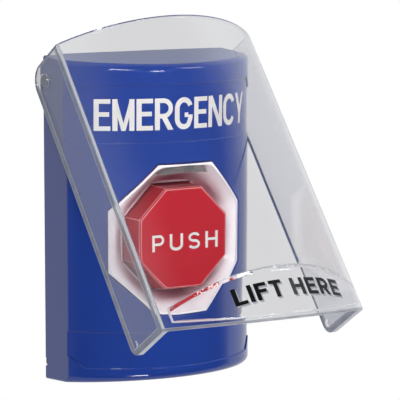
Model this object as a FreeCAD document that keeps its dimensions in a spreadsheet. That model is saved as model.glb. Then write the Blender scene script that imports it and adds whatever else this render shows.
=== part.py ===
import FreeCAD, Part
import math
import os
import re

import Sketcher
from FreeCAD import Placement, Rotation, Vector

# Wall-mounted panic button with a lift-up clear cover.
# Row frame, in millimetres: +Z is up, the wall is the plane Y = 0 and the button faces -Y.
# The origin is the middle of the housing's height and width, on the wall.
# Most pieces are drawn in the wall frame: x to the right, y up, z straight out of the wall.

SIZES = {
    # What lies between the wall and the housing
    "seal_thick": 1.0,
    "seal_border": 6.0,
    "plate_thick": 1.5,
    "plate_inset": 1.6,
    "plate_corner": 4.0,
    "wire_opening_wide": 50.0,
    "wire_opening_tall": 56.0,
    "wire_opening_corner": 8.0,
    "box_screw_spacing": 83.3,
    "box_slot_wide": 4.0,
    "box_slot_long": 9.0,
    "tab_wide": 12.0,
    "tab_spacing": 50.0,
    "tab_reach": 12.5,
    "tab_gap": 0.3,
    # Housing: flat sides, then a front that bulges as one arc about an upright axis
    "housing_width": 82.5,
    "housing_height": 126.8,
    "side_depth": 18.3,
    "front_bulge": 21.0,
    "draft_angle": 4.4,
    "housing_wall": 2.4,
    "housing_edge": 1.0,
    "housing_end_edge": 3.0,
    "notch_radius": 1.6,
    "notch_rise": 6.9,
    "field_deep": 0.45,
    "field_bevel": 0.35,
    "field_corner": 4.5,
    "upper_field_margin": 10.35,
    "upper_field_tall": 22.3,
    "lower_field_margin": 7.5,
    "lower_field_tall": 14.4,
    "lock_screw_out": 9.0,
    "lock_recess": 1.3,
    "lock_head_tall": 1.2,
    "lock_screw_long": 6.0,
    # Octagonal surround, dished towards the button
    "surround_drop": 6.5,
    "aperture_across": 57.8,
    "aperture_bevel": 0.7,
    "aperture_gap": 0.15,
    "surround_sink": 0.2,
    "rim_wide": 0.8,
    "rim_land": 0.3,
    "dish_floor": 29.2,
    "dish_land": 0.9,
    "dish_power": 1.25,
    "dish_corner_power": 16.0,
    "rim_corner_power": 36.0,
    "flange_level": 22.5,
    "flange_thick": 2.0,
    "flange_side": 5.1,
    "flange_end": 10.1,
    "flange_corner": 19.0,
    "surround_screw_x": 10.0,
    "surround_screw_gap": 5.6,
    "surround_screw_bite": 6.0,
    "pilot_deep": 8.0,
    "post_spot": 24.0,
    "post_radius": 3.5,
    # Push button
    "button_across": 39.0,
    "button_reach": 39.2,
    "button_draft": 2.5,
    "button_bevel": 0.6,
    "button_wall": 2.2,
    "button_gap": 0.3,
    "button_stop_wide": 1.4,
    "button_stop_thick": 1.6,
    "button_travel": 4.0,
    "boss_radius": 5.0,
    "boss_long": 9.7,
    "rod_radius": 3.0,
    "spigot_radius": 2.0,
    "spigot_long": 8.0,
    "spring_radius": 7.0,
    "spring_wire": 1.2,
    "spring_turns": 6.5,
    "spring_gap": 0.05,
    # Contact carrier and contact block behind the button
    "carrier_thick": 1.6,
    "carrier_margin": 4.5,
    "carrier_screw_bite": 5.0,
    "carrier_corner": 5.0,
    "block_back": 4.2,
    "block_wide": 30.0,
    "block_tall": 38.0,
    "block_corner": 1.5,
    "block_screw_inset": 4.5,
    "follower_radius": 2.0,
    "follower_long": 4.5,
    "terminal_inset_x": 6.0,
    "terminal_inset_y": 4.5,
    "terminal_side": 8.0,
    "terminal_deep": 3.0,
    "clamp_thick": 1.0,
    "terminal_screw_long": 5.0,
    # Light pipe over the button and the board that lights it
    "pipe_wide": 20.4,
    "pipe_inset": 3.9,
    "pipe_side_tall": 2.6,
    "pipe_tall": 3.2,
    "pipe_shoulder": 1.9,
    "pipe_sink": 0.9,
    "pipe_gap": 0.1,
    "lamp_tall": 0.9,
    "lamp_side": 3.0,
    "lamp_x": 5.0,
    "board_wide": 32.0,
    "board_tall": 8.0,
    "board_thick": 1.6,
    "board_back": 2.4,
    "board_below": 1.65,
    "board_screw_x": 13.0,
    "board_screw_rise": 2.75,
    "board_screw_bite": 2.5,
    "board_foot_radius": 2.4,
    # Screws: M3 inside, M2 on the board
    "screw_radius": 1.5,
    "screw_head_radius": 2.8,
    "screw_head_tall": 1.8,
    "small_screw_radius": 0.8,
    "small_head_radius": 1.7,
    "small_head_tall": 1.0,
    "thread_gap": 0.05,
    "clearance_gap": 0.25,
    "rest_gap": 0.3,
    # Lift-up cover and its hinge
    "pivot_out": 7.5,
    "pivot_drop": 9.6,
    "open_angle": 38.5,
    "cover_gap": 0.65,
    "cover_wall": 2.0,
    "cover_edge": 0.5,
    "cover_reach": 17.3,
    "cover_bulge": 20.0,
    "cover_overhang": 3.3,
    "cover_chin": 10.4,
    "cover_ear": 7.0,
    "cover_top_angle": 6.3,
    "cover_heel_rise": 1.8,
    "cover_heel": 5.0,
    "lip_raise": 1.8,
    "lip_end_raise": 0.6,
    "lip_margin": 2.9,
    "lip_top_side": 6.6,
    "lip_top_middle": 10.9,
    "lip_low_side": 3.5,
    "lip_low_middle": -8.5,
    "lip_edge": 0.5,
    "pin_radius": 2.7,
    "pin_gap": 0.06,
    "pin_neck_radius": 2.0,
    "pin_boss_radius": 4.5,
    "pin_boss_long": 2.0,
    "pin_chamfer": 0.3,
    "clip_radius": 3.6,
    "clip_thick": 0.7,
    "clip_depth": 0.5,
    "clip_play": 0.05,
    "clip_tail": 1.2,
    "bump_radius": 1.6,
    "bump_tall": 0.35,
    "bump_rise": 6.3,
    "bump_level": 3.9,
}

# Places closer together than NEAR are the same, and a cut runs OVERRUN past what it cuts.
NEAR = 0.01
OVERRUN = "5"

OCTAGON = "tan(22.5)"
BACK = "(seal_thick + plate_thick)"
SHOULDER = f"({BACK} + side_depth)"
FRONT_RADIUS = "((housing_width ^ 2 / 4 + front_bulge ^ 2) / (2 * front_bulge))"
FRONT_CENTRE = f"({SHOULDER} + front_bulge - {FRONT_RADIUS})"
STOP_FRONT = "(flange_level - rest_gap)"
STOP_BACK = f"({STOP_FRONT} - button_stop_thick)"
CARRIER_FRONT = f"({STOP_BACK} - button_travel - rest_gap)"
CARRIER_BACK = f"({CARRIER_FRONT} - carrier_thick)"
BUTTON_REAR = f"(button_across + 2 * (button_reach - {STOP_FRONT}) * tan(button_draft))"
THROAT = f"({BUTTON_REAR} + 2 * button_gap)"
BUTTON_ROOF = "(button_reach - button_wall)"
BOSS_END = f"({BUTTON_ROOF} - boss_long)"
ROD_END = f"({CARRIER_BACK} + rest_gap)"
SURROUND = "(aperture_across - 2 * aperture_gap)"
SURROUND_SCREW_Y = "(aperture_across / 2 + surround_screw_gap)"
TERMINAL_X = "(block_wide / 2 - terminal_inset_x)"
TERMINAL_Y = "(block_tall / 2 - terminal_inset_y)"
BLOCK_SCREW_Y = "(block_tall / 2 - block_screw_inset)"
PIPE_LOW = f"({SURROUND} / 2 - pipe_inset)"
BOARD_FRONT = "(flange_level - board_back)"
BOARD_SCREW_Y = f"({PIPE_LOW} + board_screw_rise)"
LOCK_SEAT = f"(housing_height / 2 - (lock_screw_out - {BACK}) * tan(draft_angle) - lock_recess)"
PIVOT_HEIGHT = "(housing_height / 2 - pivot_drop)"
COVER_HALF = "(housing_width / 2 + cover_gap + cover_wall)"
COVER_DROP = f"({PIVOT_HEIGHT} + housing_height / 2 + cover_overhang)"
COVER_BLANK = f"({COVER_DROP} + cover_chin + {OVERRUN})"
COVER_RADIUS = f"(({COVER_HALF} ^ 2 + cover_bulge ^ 2) / (2 * cover_bulge))"
COVER_CENTRE = f"(cover_reach + cover_bulge - {COVER_RADIUS})"
PIN_END = "(housing_width / 2 - housing_wall - pin_boss_long)"

doc = FreeCAD.newDocument("panic_button")


def make_sheet():
    """Writes every driving size into one spreadsheet, each cell with its own alias."""
    sheet = doc.addObject("Spreadsheet::Sheet", "dims")
    for row, (name, value) in enumerate(SIZES.items(), 1):
        sheet.set(f"A{row}", name)
        sheet.set(f"B{row}", str(value))
        sheet.setAlias(f"B{row}", name)
    doc.recompute()
    return sheet


sheet = make_sheet()
NAMES = re.compile(r"\b(" + "|".join(SIZES) + r")\b")
WALL_FRAME = Rotation(Vector(1, 0, 0), 90)


def bound(text):
    """Turns size names into references to the spreadsheet's cells."""
    return NAMES.sub(r"dims.\1", text)


def number(text):
    """The present value of an expression in size names."""
    return float(sheet.evalExpression(bound(text)))


def front_at(x, inset="0"):
    """How far the housing's arc stands out of the wall at x, on a surface inset from it."""
    return f"({FRONT_CENTRE} + sqrt(({FRONT_RADIUS} - ({inset})) ^ 2 - ({x}) ^ 2))"


def top_at(out):
    """Half the housing's height at a distance out of the wall, where the draft has narrowed it."""
    return f"(housing_height / 2 - ({out} - {BACK}) * tan(draft_angle))"


def octagon(across):
    """The corners of a regular octagon, by its distance across flats."""
    far, near = f"({across}) / 2", f"({across}) / 2 * {OCTAGON}"
    return [(far, near), (near, far), (f"-{near}", far), (f"-{far}", near),
            (f"-{far}", f"-{near}"), (f"-{near}", f"-{far}"), (near, f"-{far}"), (far, f"-{near}")]


def cut_rectangle(wide, tall, corner):
    """The corners of a rectangle whose four corners are cut off at 45 degrees."""
    x, y = f"({wide}) / 2", f"({tall}) / 2"
    x_in, y_in = f"({x} - {corner})", f"({y} - {corner})"
    return [(x, y_in), (x_in, y), (f"-{x_in}", y), (f"-{x}", y_in),
            (f"-{x}", f"-{y_in}"), (f"-{x_in}", f"-{y}"), (x_in, f"-{y}"), (x, f"-{y_in}")]


def new_body(label, up="0"):
    """A body drawn in the wall frame, with its origin moved up the wall."""
    body = doc.addObject("PartDesign::Body", label)
    body.Label = label
    body.Placement = Placement(Vector(0, 0, 0), WALL_FRAME)
    body.setExpression("Placement.Base.z", bound(up))
    return body


def new_sketch(body, plane, offset=None):
    """A sketch on one of the body's own origin planes, moved along that plane's normal."""
    sketch = body.newObject("Sketcher::SketchObject", f"{body.Name}_sketch")
    support = next(f for f in body.Origin.OriginFeatures if f.Role == plane)
    sketch.AttachmentSupport = (support, "")
    sketch.MapMode = "FlatFace"
    if offset:
        sketch.setExpression("AttachmentOffset.Base.z", bound(offset))
    return sketch


def pin_down(sketch, kind, value, *where):
    """Adds one dimension to a sketch and binds it to an expression."""
    index = sketch.addConstraint(Sketcher.Constraint(kind, *where, number(value)))
    sketch.setExpression(f"Constraints[{index}]", bound(value))


def arc_edge(start, end, radius, side):
    """The short arc from start to end, with its centre on the given side of the chord."""
    chord = end - start
    half = chord.Length / 2
    across = Vector(-chord.y, chord.x, 0).normalize() * side
    centre = (start + end) / 2 + across * math.sqrt(max(radius ** 2 - half ** 2, 0))
    first = math.atan2(start.y - centre.y, start.x - centre.x)
    last = math.atan2(end.y - centre.y, end.x - centre.x)
    circle = Part.Circle(centre, Vector(0, 0, 1), radius)
    if side > 0:
        return Part.ArcOfCircle(circle, first, first + (last - first) % (2 * math.pi)), 1, 2
    return Part.ArcOfCircle(circle, last, last + (first - last) % (2 * math.pi)), 2, 1


def add_outline(sketch, corners, arcs=None):
    """Adds a closed outline. arcs maps a corner's index to (radius, side) of the edge after it."""
    arcs = arcs or {}
    first = sketch.GeometryCount
    points = [Vector(number(x), number(y), 0) for x, y in corners]
    ends = []
    for i, start in enumerate(points):
        end = points[(i + 1) % len(points)]
        if i in arcs:
            edge, a, b = arc_edge(start, end, number(arcs[i][0]), arcs[i][1])
        else:
            edge, a, b = Part.LineSegment(start, end), 1, 2
        sketch.addGeometry(edge)
        ends.append((first + i, a, b))
    for i, (edge, _, b) in enumerate(ends):
        follower, a, _ = ends[(i + 1) % len(ends)]
        sketch.addConstraint(Sketcher.Constraint("Coincident", edge, b, follower, a))
    for (edge, a, _), (x, y) in zip(ends, corners):
        pin_down(sketch, "DistanceX", x, -1, 1, edge, a)
        pin_down(sketch, "DistanceY", y, -1, 1, edge, a)
    for i, (radius, _) in arcs.items():
        pin_down(sketch, "Radius", radius, first + i)


def add_circle(sketch, x, y, radius):
    """Adds one circle whose centre and radius are bound."""
    index = sketch.addGeometry(Part.Circle(Vector(number(x), number(y), 0),
                                           Vector(0, 0, 1), number(radius)))
    pin_down(sketch, "DistanceX", x, -1, 1, index, 3)
    pin_down(sketch, "DistanceY", y, -1, 1, index, 3)
    pin_down(sketch, "Radius", radius, index)


def outline_sketch(body, plane, corners, arcs=None, offset=None):
    """A new sketch that holds one closed outline."""
    sketch = new_sketch(body, plane, offset)
    add_outline(sketch, corners, arcs)
    return sketch


def circle_sketch(body, plane, circles, offset=None):
    """A new sketch of round holes or bosses."""
    sketch = new_sketch(body, plane, offset)
    for x, y, radius in circles:
        add_circle(sketch, x, y, radius)
    return sketch


def extrude(body, kind, sketch, length=None, both=False, back=False):
    """A Pad or Pocket of a sketch: a bound length, or through everything for a pocket."""
    feature = body.newObject(f"PartDesign::{kind}", f"{body.Name}_{kind}")
    feature.Profile = sketch
    feature.Reversed = back
    if both:
        feature.SideType = "Symmetric"
    if length:
        feature.setExpression("Length", bound(length))
    else:
        feature.Type = "ThroughAll"
    doc.recompute()
    return feature


def pad(body, sketch, length, **how):
    return extrude(body, "Pad", sketch, length, **how)


def pocket(body, sketch, length=None, **how):
    return extrude(body, "Pocket", sketch, length, **how)


def edges_where(shape, test):
    """Names of the edges of a shape that pass a test."""
    return [f"Edge{i}" for i, edge in enumerate(shape.Edges, 1) if test(edge)]


def ends_at(edge, points):
    """Whether both ends of an edge lie at some of the given points."""
    return all(any(v.Point.distanceToPoint(p) < NEAR for p in points) for v in edge.Vertexes)


def points_along(edge):
    """Three points of an edge, clear of its ends."""
    first, last = edge.FirstParameter, edge.LastParameter
    return [edge.valueAt(first + (last - first) * share) for share in (0.1, 0.5, 0.9)]


def lies_on_arc(points, radius, centre):
    """Whether points lie on a round surface about an upright axis."""
    return all(abs(math.hypot(p.x, p.z - centre) - radius) < NEAR for p in points)


def dress(body, kind, edges, size):
    """A Fillet or Chamfer on named edges of the body's tip."""
    feature = body.newObject(f"PartDesign::{kind}", f"{body.Name}_{kind}")
    feature.Base = (body.Tip if body.Tip != feature else feature.BaseFeature, edges)
    feature.setExpression("Radius" if kind == "Fillet" else "Size", bound(size))
    doc.recompute()
    return feature


def both_sides(x, *rest):
    """The same round hole or boss on the left and on the right."""
    return [(f"-({x})", *rest), (x, *rest)]


def four_corners(x, y, radius):
    """The same round hole or boss at four places about the middle."""
    return both_sides(x, f"({y})", radius) + both_sides(x, f"-({y})", radius)


def in_wall_frame(label, solids, up="0"):
    """A feature whose solids were made from the sheet's sizes, set into the wall frame."""
    feature = doc.addObject("Part::Feature", label)
    feature.Label = label
    feature.Shape = Part.makeCompound(solids)
    feature.Placement = Placement(Vector(0, 0, number(up)), WALL_FRAME)
    return feature


def turned(profile, where, direction):
    """A solid turned from (radius, height) points, set at a place and along a direction."""
    points = [Vector(r, 0, height) for r, height in profile]
    face = Part.Face(Part.makePolygon(points + points[:1]))
    solid = face.revolve(Vector(0, 0, 0), Vector(0, 0, 1), 360)
    solid.Placement = Placement(where, Rotation(Vector(0, 0, 1), direction))
    return solid


def pan_screw(where, direction, radius, head_radius, head_tall, length):
    """A pan-head screw with a cross recess; where is the middle of the seat under its head."""
    tip, lead = radius * 0.7, radius * 0.5
    flat, crown = head_radius * 0.72, head_tall * 0.55
    profile = [(0, length), (tip, length), (radius, length - lead), (radius, 0),
               (head_radius, 0), (head_radius, -crown), (flat, -head_tall), (0, -head_tall)]
    solid = turned(profile, where, direction)
    slot_wide, slot_deep, arm = head_radius * 0.28, head_tall * 0.6, head_radius * 1.1
    cross = Part.makeBox(arm, slot_wide, slot_deep, Vector(-arm / 2, -slot_wide / 2, -head_tall))
    bar = Part.makeBox(slot_wide, arm, slot_deep, Vector(-slot_wide / 2, -arm / 2, -head_tall))
    recess = cross.fuse(bar)
    recess.Placement = Placement(where, Rotation(Vector(0, 0, 1), direction))
    return solid.cut(recess)


def screw_group(label, places, seat, length, up="0", small=False):
    """Like screws driven out of the wall, from behind, into the pieces in front of their seat."""
    radius, head, tall = [number(name) for name in (
        ("small_screw_radius", "small_head_radius", "small_head_tall") if small
        else ("screw_radius", "screw_head_radius", "screw_head_tall"))]
    solids = [pan_screw(Vector(number(x), number(y), number(seat)), Vector(0, 0, 1),
                        radius, head, tall, number(length)) for x, y, _ in places]
    return in_wall_frame(label, solids, up)


def make_wall_seal():
    """A flat foam frame that keeps dust and water out from behind the plate."""
    body = new_body("wall_seal")
    wide = "(housing_width - 2 * plate_inset)"
    tall = "(housing_height - 2 * plate_inset)"
    pad(body, outline_sketch(body, "XY_Plane", cut_rectangle(wide, tall, "plate_corner")),
        "seal_thick")
    inner = cut_rectangle(f"({wide} - 2 * seal_border)", f"({tall} - 2 * seal_border)",
                          "plate_corner")
    pocket(body, outline_sketch(body, "XY_Plane", inner), back=True)
    return body


def cut_slot(body, y):
    """An upright slot through the plate on its middle line."""
    half, run = "box_slot_wide / 2", "(box_slot_long - box_slot_wide) / 2"
    middle = [(half, f"{y} - {run}"), (half, f"{y} + {run}"),
              (f"-{half}", f"{y} + {run}"), (f"-{half}", f"{y} - {run}")]
    pocket(body, outline_sketch(body, "XY_Plane", middle), back=True)
    ends = [("0", f"{y} - {run}", half), ("0", f"{y} + {run}", half)]
    pocket(body, circle_sketch(body, "XY_Plane", ends), back=True)


def make_mounting_plate():
    """The steel plate that is screwed to the wall box, with four bent tabs for the housing."""
    body = new_body("mounting_plate")
    corners = cut_rectangle("(housing_width - 2 * plate_inset)",
                            "(housing_height - 2 * plate_inset)", "plate_corner")
    pad(body, outline_sketch(body, "XY_Plane", corners, offset="seal_thick"), "plate_thick")
    face = f"({top_at('(' + BACK + ' + tab_reach)')} - housing_wall / cos(draft_angle) - tab_gap)"
    left, right = "(tab_spacing - tab_wide) / 2", "(tab_spacing + tab_wide) / 2"
    for x_side in ("", "-"):
        for y_side in ("", "-"):
            tab = [(f"{x_side}({left})", f"{y_side}({face} - plate_thick)"),
                   (f"{x_side}({right})", f"{y_side}({face} - plate_thick)"),
                   (f"{x_side}({right})", f"{y_side}({face})"),
                   (f"{x_side}({left})", f"{y_side}({face})")]
            pad(body, outline_sketch(body, "XY_Plane", tab, offset="seal_thick"),
                "plate_thick + tab_reach")
    opening = cut_rectangle("wire_opening_wide", "wire_opening_tall", "wire_opening_corner")
    pocket(body, outline_sketch(body, "XY_Plane", opening), back=True)
    for side in ("", "-"):
        cut_slot(body, f"{side}box_screw_spacing / 2")
    holes = both_sides("tab_spacing / 2", "lock_screw_out", "screw_radius + thread_gap")
    pocket(body, circle_sketch(body, "XZ_Plane", holes), "housing_height / 2", back=True)
    return body


def plan_outline(body):
    """The housing seen from above: a flat back, flat sides and one long arc."""
    half = "housing_width / 2"
    corners = [(f"-{half}", BACK), (half, BACK), (half, SHOULDER), (f"-{half}", SHOULDER)]
    return outline_sketch(body, "XZ_Plane", corners, {2: (FRONT_RADIUS, 1)})


def draft_wedge(body, side):
    """A side view of what the draft takes off the top or the bottom."""
    far = f"({SHOULDER} + front_bulge + {OVERRUN})"
    high = f"(housing_height / 2 + {OVERRUN})"
    corners = [(f"{side}(housing_height / 2)", BACK), (f"{side}{high}", BACK),
               (f"{side}{high}", far), (f"{side}{top_at(far)}", far)]
    return outline_sketch(body, "YZ_Plane", corners)


def housing_shell(body):
    """The outer form, hollowed from its back to one wall thickness."""
    pad(body, plan_outline(body), "housing_height", both=True)
    for side in ("", "-"):
        pocket(body, draft_wedge(body, side), both=True)
    base = body.Tip
    back = number(BACK)
    rear = [f"Face{i}" for i, face in enumerate(base.Shape.Faces, 1)
            if abs(face.BoundBox.ZMax - back) < NEAR]
    shell = body.newObject("PartDesign::Thickness", "housing_hollow")
    shell.Base = (base, rear)
    shell.Reversed = True
    shell.setExpression("Value", bound("housing_wall"))
    doc.recompute()


def round_front_edges(body):
    """Rounds the front's long edges: a small radius at the sides, a fuller one at the ends."""
    half, out, high = number("housing_width / 2"), number(SHOULDER), number(top_at(SHOULDER))
    points = [Vector(x, y, out) for x in (-half, half) for y in (-high, high)]

    def at_front(edge):
        return ends_at(edge, points)

    def at_end(edge):
        middle = edge.valueAt((edge.FirstParameter + edge.LastParameter) / 2)
        return at_front(edge) and middle.z > out + NEAR

    dress(body, "Fillet", edges_where(body.Tip.Shape, at_end), "housing_end_edge")

    def at_side(edge):
        box = edge.BoundBox
        corner = abs(abs(box.Center.x) - half) < NEAR and abs(box.Center.z - out) < NEAR
        return corner and box.YLength > high

    dress(body, "Fillet", edges_where(body.Tip.Shape, at_side), "housing_edge")


def field_corners(middle, tall, cut):
    """A field right across the front, with its two corners cut on the side away from the middle."""
    half = f"(housing_width / 2 + {OVERRUN})"
    low, high = f"({middle} - {tall} / 2)", f"({middle} + {tall} / 2)"
    cut_x = "(housing_width / 2 - field_corner)"
    if cut == "upper":
        cut_y = f"({high} - field_corner - {OVERRUN})"
        return [(f"-{half}", low), (half, low), (half, cut_y), (cut_x, high),
                (f"-{cut_x}", high), (f"-{half}", cut_y)]
    cut_y = f"({low} + field_corner + {OVERRUN})"
    return [(f"-{half}", high), (half, high), (half, cut_y), (cut_x, low),
            (f"-{cut_x}", low), (f"-{half}", cut_y)]


def field_cutter(label, middle, tall, cut):
    """A curved slab as deep as a field, with bevelled edges on the side that cuts."""
    body = new_body(label)
    half, far = f"(housing_width / 2 + {OVERRUN})", "housing_width"
    floor = f"({FRONT_RADIUS} - field_deep)"
    low = f"({FRONT_CENTRE} + sqrt({floor} ^ 2 - {half} ^ 2))"
    corners = [(f"-{half}", low), (half, low), (half, far), (f"-{half}", far)]
    sketch = outline_sketch(body, "XZ_Plane", corners, {0: (floor, -1)})
    pad(body, sketch, "housing_height", both=True)
    keep = new_sketch(body, "XY_Plane")
    x, y = "housing_width", "housing_height"
    add_outline(keep, [(f"-{x}", f"-{y}"), (x, f"-{y}"), (x, y), (f"-{x}", y)])
    add_outline(keep, field_corners(middle, tall, cut))
    pocket(body, keep, both=True)
    radius, centre = number(floor), number(FRONT_CENTRE)
    top, bottom = number(f"{middle} + {tall} / 2"), number(f"{middle} - {tall} / 2")

    def on_floor(edge):
        points = points_along(edge)
        level = any(all(abs(p.y - high) < NEAR for p in points) for high in (top, bottom))
        return level and lies_on_arc(points, radius, centre)

    dress(body, "Chamfer", edges_where(body.Tip.Shape, on_floor), "field_bevel")
    return body


def housing_bosses(body):
    """Posts for the surround's screws and collars round the hinge pins, inside the shell."""
    top = front_at("surround_screw_x + post_radius", "housing_wall / 4")
    level = "(flange_level + flange_thick)"
    up = f"{SURROUND_SCREW_Y} - surround_drop"
    down = f"{SURROUND_SCREW_Y} + surround_drop"
    spots = [(x, y, "post_radius") for x in ("surround_screw_x", "-surround_screw_x")
             for y in (up, f"-({down})")]
    pad(body, circle_sketch(body, "XY_Plane", spots, level), f"{top} - {level}")
    pilots = [(x, y, "screw_radius + thread_gap") for x, y, _ in spots]
    pocket(body, circle_sketch(body, "XY_Plane", pilots, level), "pilot_deep", back=True)
    collar = [(PIVOT_HEIGHT, "pivot_out", "pin_boss_radius")]
    pad(body, circle_sketch(body, "YZ_Plane", collar),
        "housing_width - housing_wall", both=True)
    room = [(PIVOT_HEIGHT, "pivot_out", "pin_boss_radius + pin_gap")]
    pocket(body, circle_sketch(body, "YZ_Plane", room), f"2 * {PIN_END}", both=True)
    bore = [(PIVOT_HEIGHT, "pivot_out", "pin_neck_radius + thread_gap")]
    pocket(body, circle_sketch(body, "YZ_Plane", bore), both=True)


def bevel_aperture(body):
    """Bevels the front edge of the octagonal opening."""
    apothem, drop = number("aperture_across / 2"), number("surround_drop")
    radius, centre = number(FRONT_RADIUS), number(FRONT_CENTRE)

    def on_rim(edge):
        points = points_along(edge)
        side = all(abs(octagon_reach(p.x, p.y + drop) - apothem) < NEAR for p in points)
        return side and lies_on_arc(points, radius, centre)

    dress(body, "Chamfer", edges_where(body.Tip.Shape, on_rim), "aperture_bevel")


def octagon_reach(x, y):
    """The apothem of the octagon about the origin that passes through a point."""
    x, y = abs(x), abs(y)
    return max(x, y, (x + y) / math.sqrt(2))


def make_front_housing():
    """The blue moulded housing: a drafted shell with an octagonal opening in its curved front."""
    body = new_body("housing_block")
    housing_shell(body)
    round_front_edges(body)
    housing_bosses(body)
    opening = [(x, f"{y} - surround_drop") for x, y in octagon("aperture_across")]
    pocket(body, outline_sketch(body, "XY_Plane", opening, offset="flange_level"), back=True)
    bevel_aperture(body)
    notch = [("notch_rise - housing_height / 2", BACK, "notch_radius")]
    pocket(body, circle_sketch(body, "YZ_Plane", notch), both=True)
    holes = both_sides("tab_spacing / 2", "lock_screw_out", "screw_radius + clearance_gap")
    pocket(body, circle_sketch(body, "XZ_Plane", holes, "housing_height / 4"),
           "housing_height / 2", back=True)
    seats = both_sides("tab_spacing / 2", "lock_screw_out", "screw_head_radius + clearance_gap")
    pocket(body, circle_sketch(body, "XZ_Plane", seats, LOCK_SEAT),
           "lock_recess + housing_wall", back=True)
    fields = doc.addObject("Part::MultiFuse", "front_fields")
    upper = "(housing_height / 2 - upper_field_margin - upper_field_tall / 2)"
    lower = "(lower_field_margin + lower_field_tall / 2 - housing_height / 2)"
    fields.Shapes = [field_cutter("upper_field", upper, "upper_field_tall", "upper"),
                     field_cutter("lower_field", lower, "lower_field_tall", "lower")]
    housing = doc.addObject("Part::Cut", "front_housing")
    housing.Label = "front_housing"
    housing.Base = body
    housing.Tool = fields
    doc.recompute()
    return housing


RING_POINTS = 80
DISH_STEPS = 4


def ring(apothem, sharpness, level_at):
    """A closed curve round the button: an octagon whose corners are rounder at low sharpness."""
    points = []
    for i in range(RING_POINTS):
        turn = 2 * math.pi * i / RING_POINTS
        pulls = [max(math.cos(turn - math.radians(45 * k)), 0) ** sharpness for k in range(8)]
        reach = apothem / sum(pulls) ** (1 / sharpness)
        x, y = reach * math.cos(turn), reach * math.sin(turn)
        points.append(Vector(x, y, level_at(x)))
    curve = Part.BSplineCurve()
    curve.interpolate(Points=points, PeriodicFlag=True)
    return Part.Wire(curve.toShape())


def dish_tool():
    """The hollow of the surround: a smooth bowl from the throat up to the curved rim."""
    radius, centre = number(FRONT_RADIUS), number(FRONT_CENTRE)
    land, floor = number("rim_land + surround_sink"), number("dish_floor")
    foot = number(f"{THROAT} / 2 + dish_land")
    rim = number(f"{SURROUND} / 2 - rim_wide")
    low, high = number("dish_corner_power"), number("rim_corner_power")
    slope = number("dish_power")

    def bowl_at(share):
        """The bowl's height at x, on the curve that is a share of the way to the rim."""
        return lambda x: floor + (centre + math.sqrt(radius ** 2 - x ** 2) - land - floor
                                  ) * share ** slope

    shares = [step / DISH_STEPS for step in range(DISH_STEPS + 1)]
    rings = [ring(foot + (rim - foot) * share, low + (high - low) * share, bowl_at(share))
             for share in shares]
    above = centre + radius + number(OVERRUN)
    lid = ring(rim, high, lambda x: above)
    faces = Part.makeLoft(rings, False, False).Faces + Part.makeRuledSurface(rings[-1], lid).Faces
    faces += [Part.Face(rings[0]), Part.Face(lid)]
    shell = Part.makeShell(faces)
    shell.sewShape()
    solid = Part.makeSolid(shell)
    solid.fix(0.001, 0.001, 0.001)
    return in_wall_frame("dish_tool", [solid], "-surround_drop")


def surround_front_trim(body):
    """Cuts the octagonal block to the same arc as the housing, a little below it."""
    half = f"(aperture_across / 2 + {OVERRUN})"
    level, above = front_at(half, "surround_sink"), f"({SHOULDER} + front_bulge + 2 * {OVERRUN})"
    corners = [(half, level), (f"-{half}", level), (f"-{half}", above), (half, above)]
    arc = {0: (f"({FRONT_RADIUS} - surround_sink)", 1)}
    pocket(body, outline_sketch(body, "XZ_Plane", corners, arc), both=True)


def make_button_surround():
    """The white octagonal surround: flange, dished block, posts, and the button's throat."""
    body = new_body("surround_block", "-surround_drop")
    flange = cut_rectangle("(aperture_across + 2 * flange_side)",
                           "(aperture_across + 2 * flange_end)", "flange_corner")
    pad(body, outline_sketch(body, "XY_Plane", flange, offset="flange_level"), "flange_thick")
    block = outline_sketch(body, "XY_Plane", octagon(SURROUND), offset="flange_level")
    pad(body, block, f"{SHOULDER} + front_bulge + {OVERRUN} - flange_level")
    surround_front_trim(body)
    posts = four_corners("post_spot", "post_spot", "post_radius")
    pad(body, circle_sketch(body, "XY_Plane", posts, "flange_level"),
        f"flange_level - {CARRIER_FRONT}", back=True)
    feet = both_sides("board_screw_x", BOARD_SCREW_Y, "board_foot_radius")
    pad(body, circle_sketch(body, "XY_Plane", feet, "flange_level"),
        f"flange_level - {BOARD_FRONT}", back=True)
    pocket(body, outline_sketch(body, "XY_Plane", octagon(THROAT)), back=True)
    slot, arcs = pipe_outline("pipe_gap")
    pocket(body, outline_sketch(body, "XY_Plane", slot, arcs), back=True)
    holes = four_corners("surround_screw_x", SURROUND_SCREW_Y, "screw_radius + clearance_gap")
    pocket(body, circle_sketch(body, "XY_Plane", holes), "flange_level + flange_thick", back=True)
    pilots = four_corners("post_spot", "post_spot", "screw_radius + thread_gap")
    pocket(body, circle_sketch(body, "XY_Plane", pilots), "flange_level", back=True)
    small = both_sides("board_screw_x", BOARD_SCREW_Y, "small_screw_radius + thread_gap")
    pocket(body, circle_sketch(body, "XY_Plane", small), "flange_level + flange_thick / 2",
           back=True)
    cut = doc.addObject("Part::Cut", "button_surround")
    cut.Label = "button_surround"
    cut.Base = body
    cut.Tool = dish_tool()
    doc.recompute()
    return cut


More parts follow.
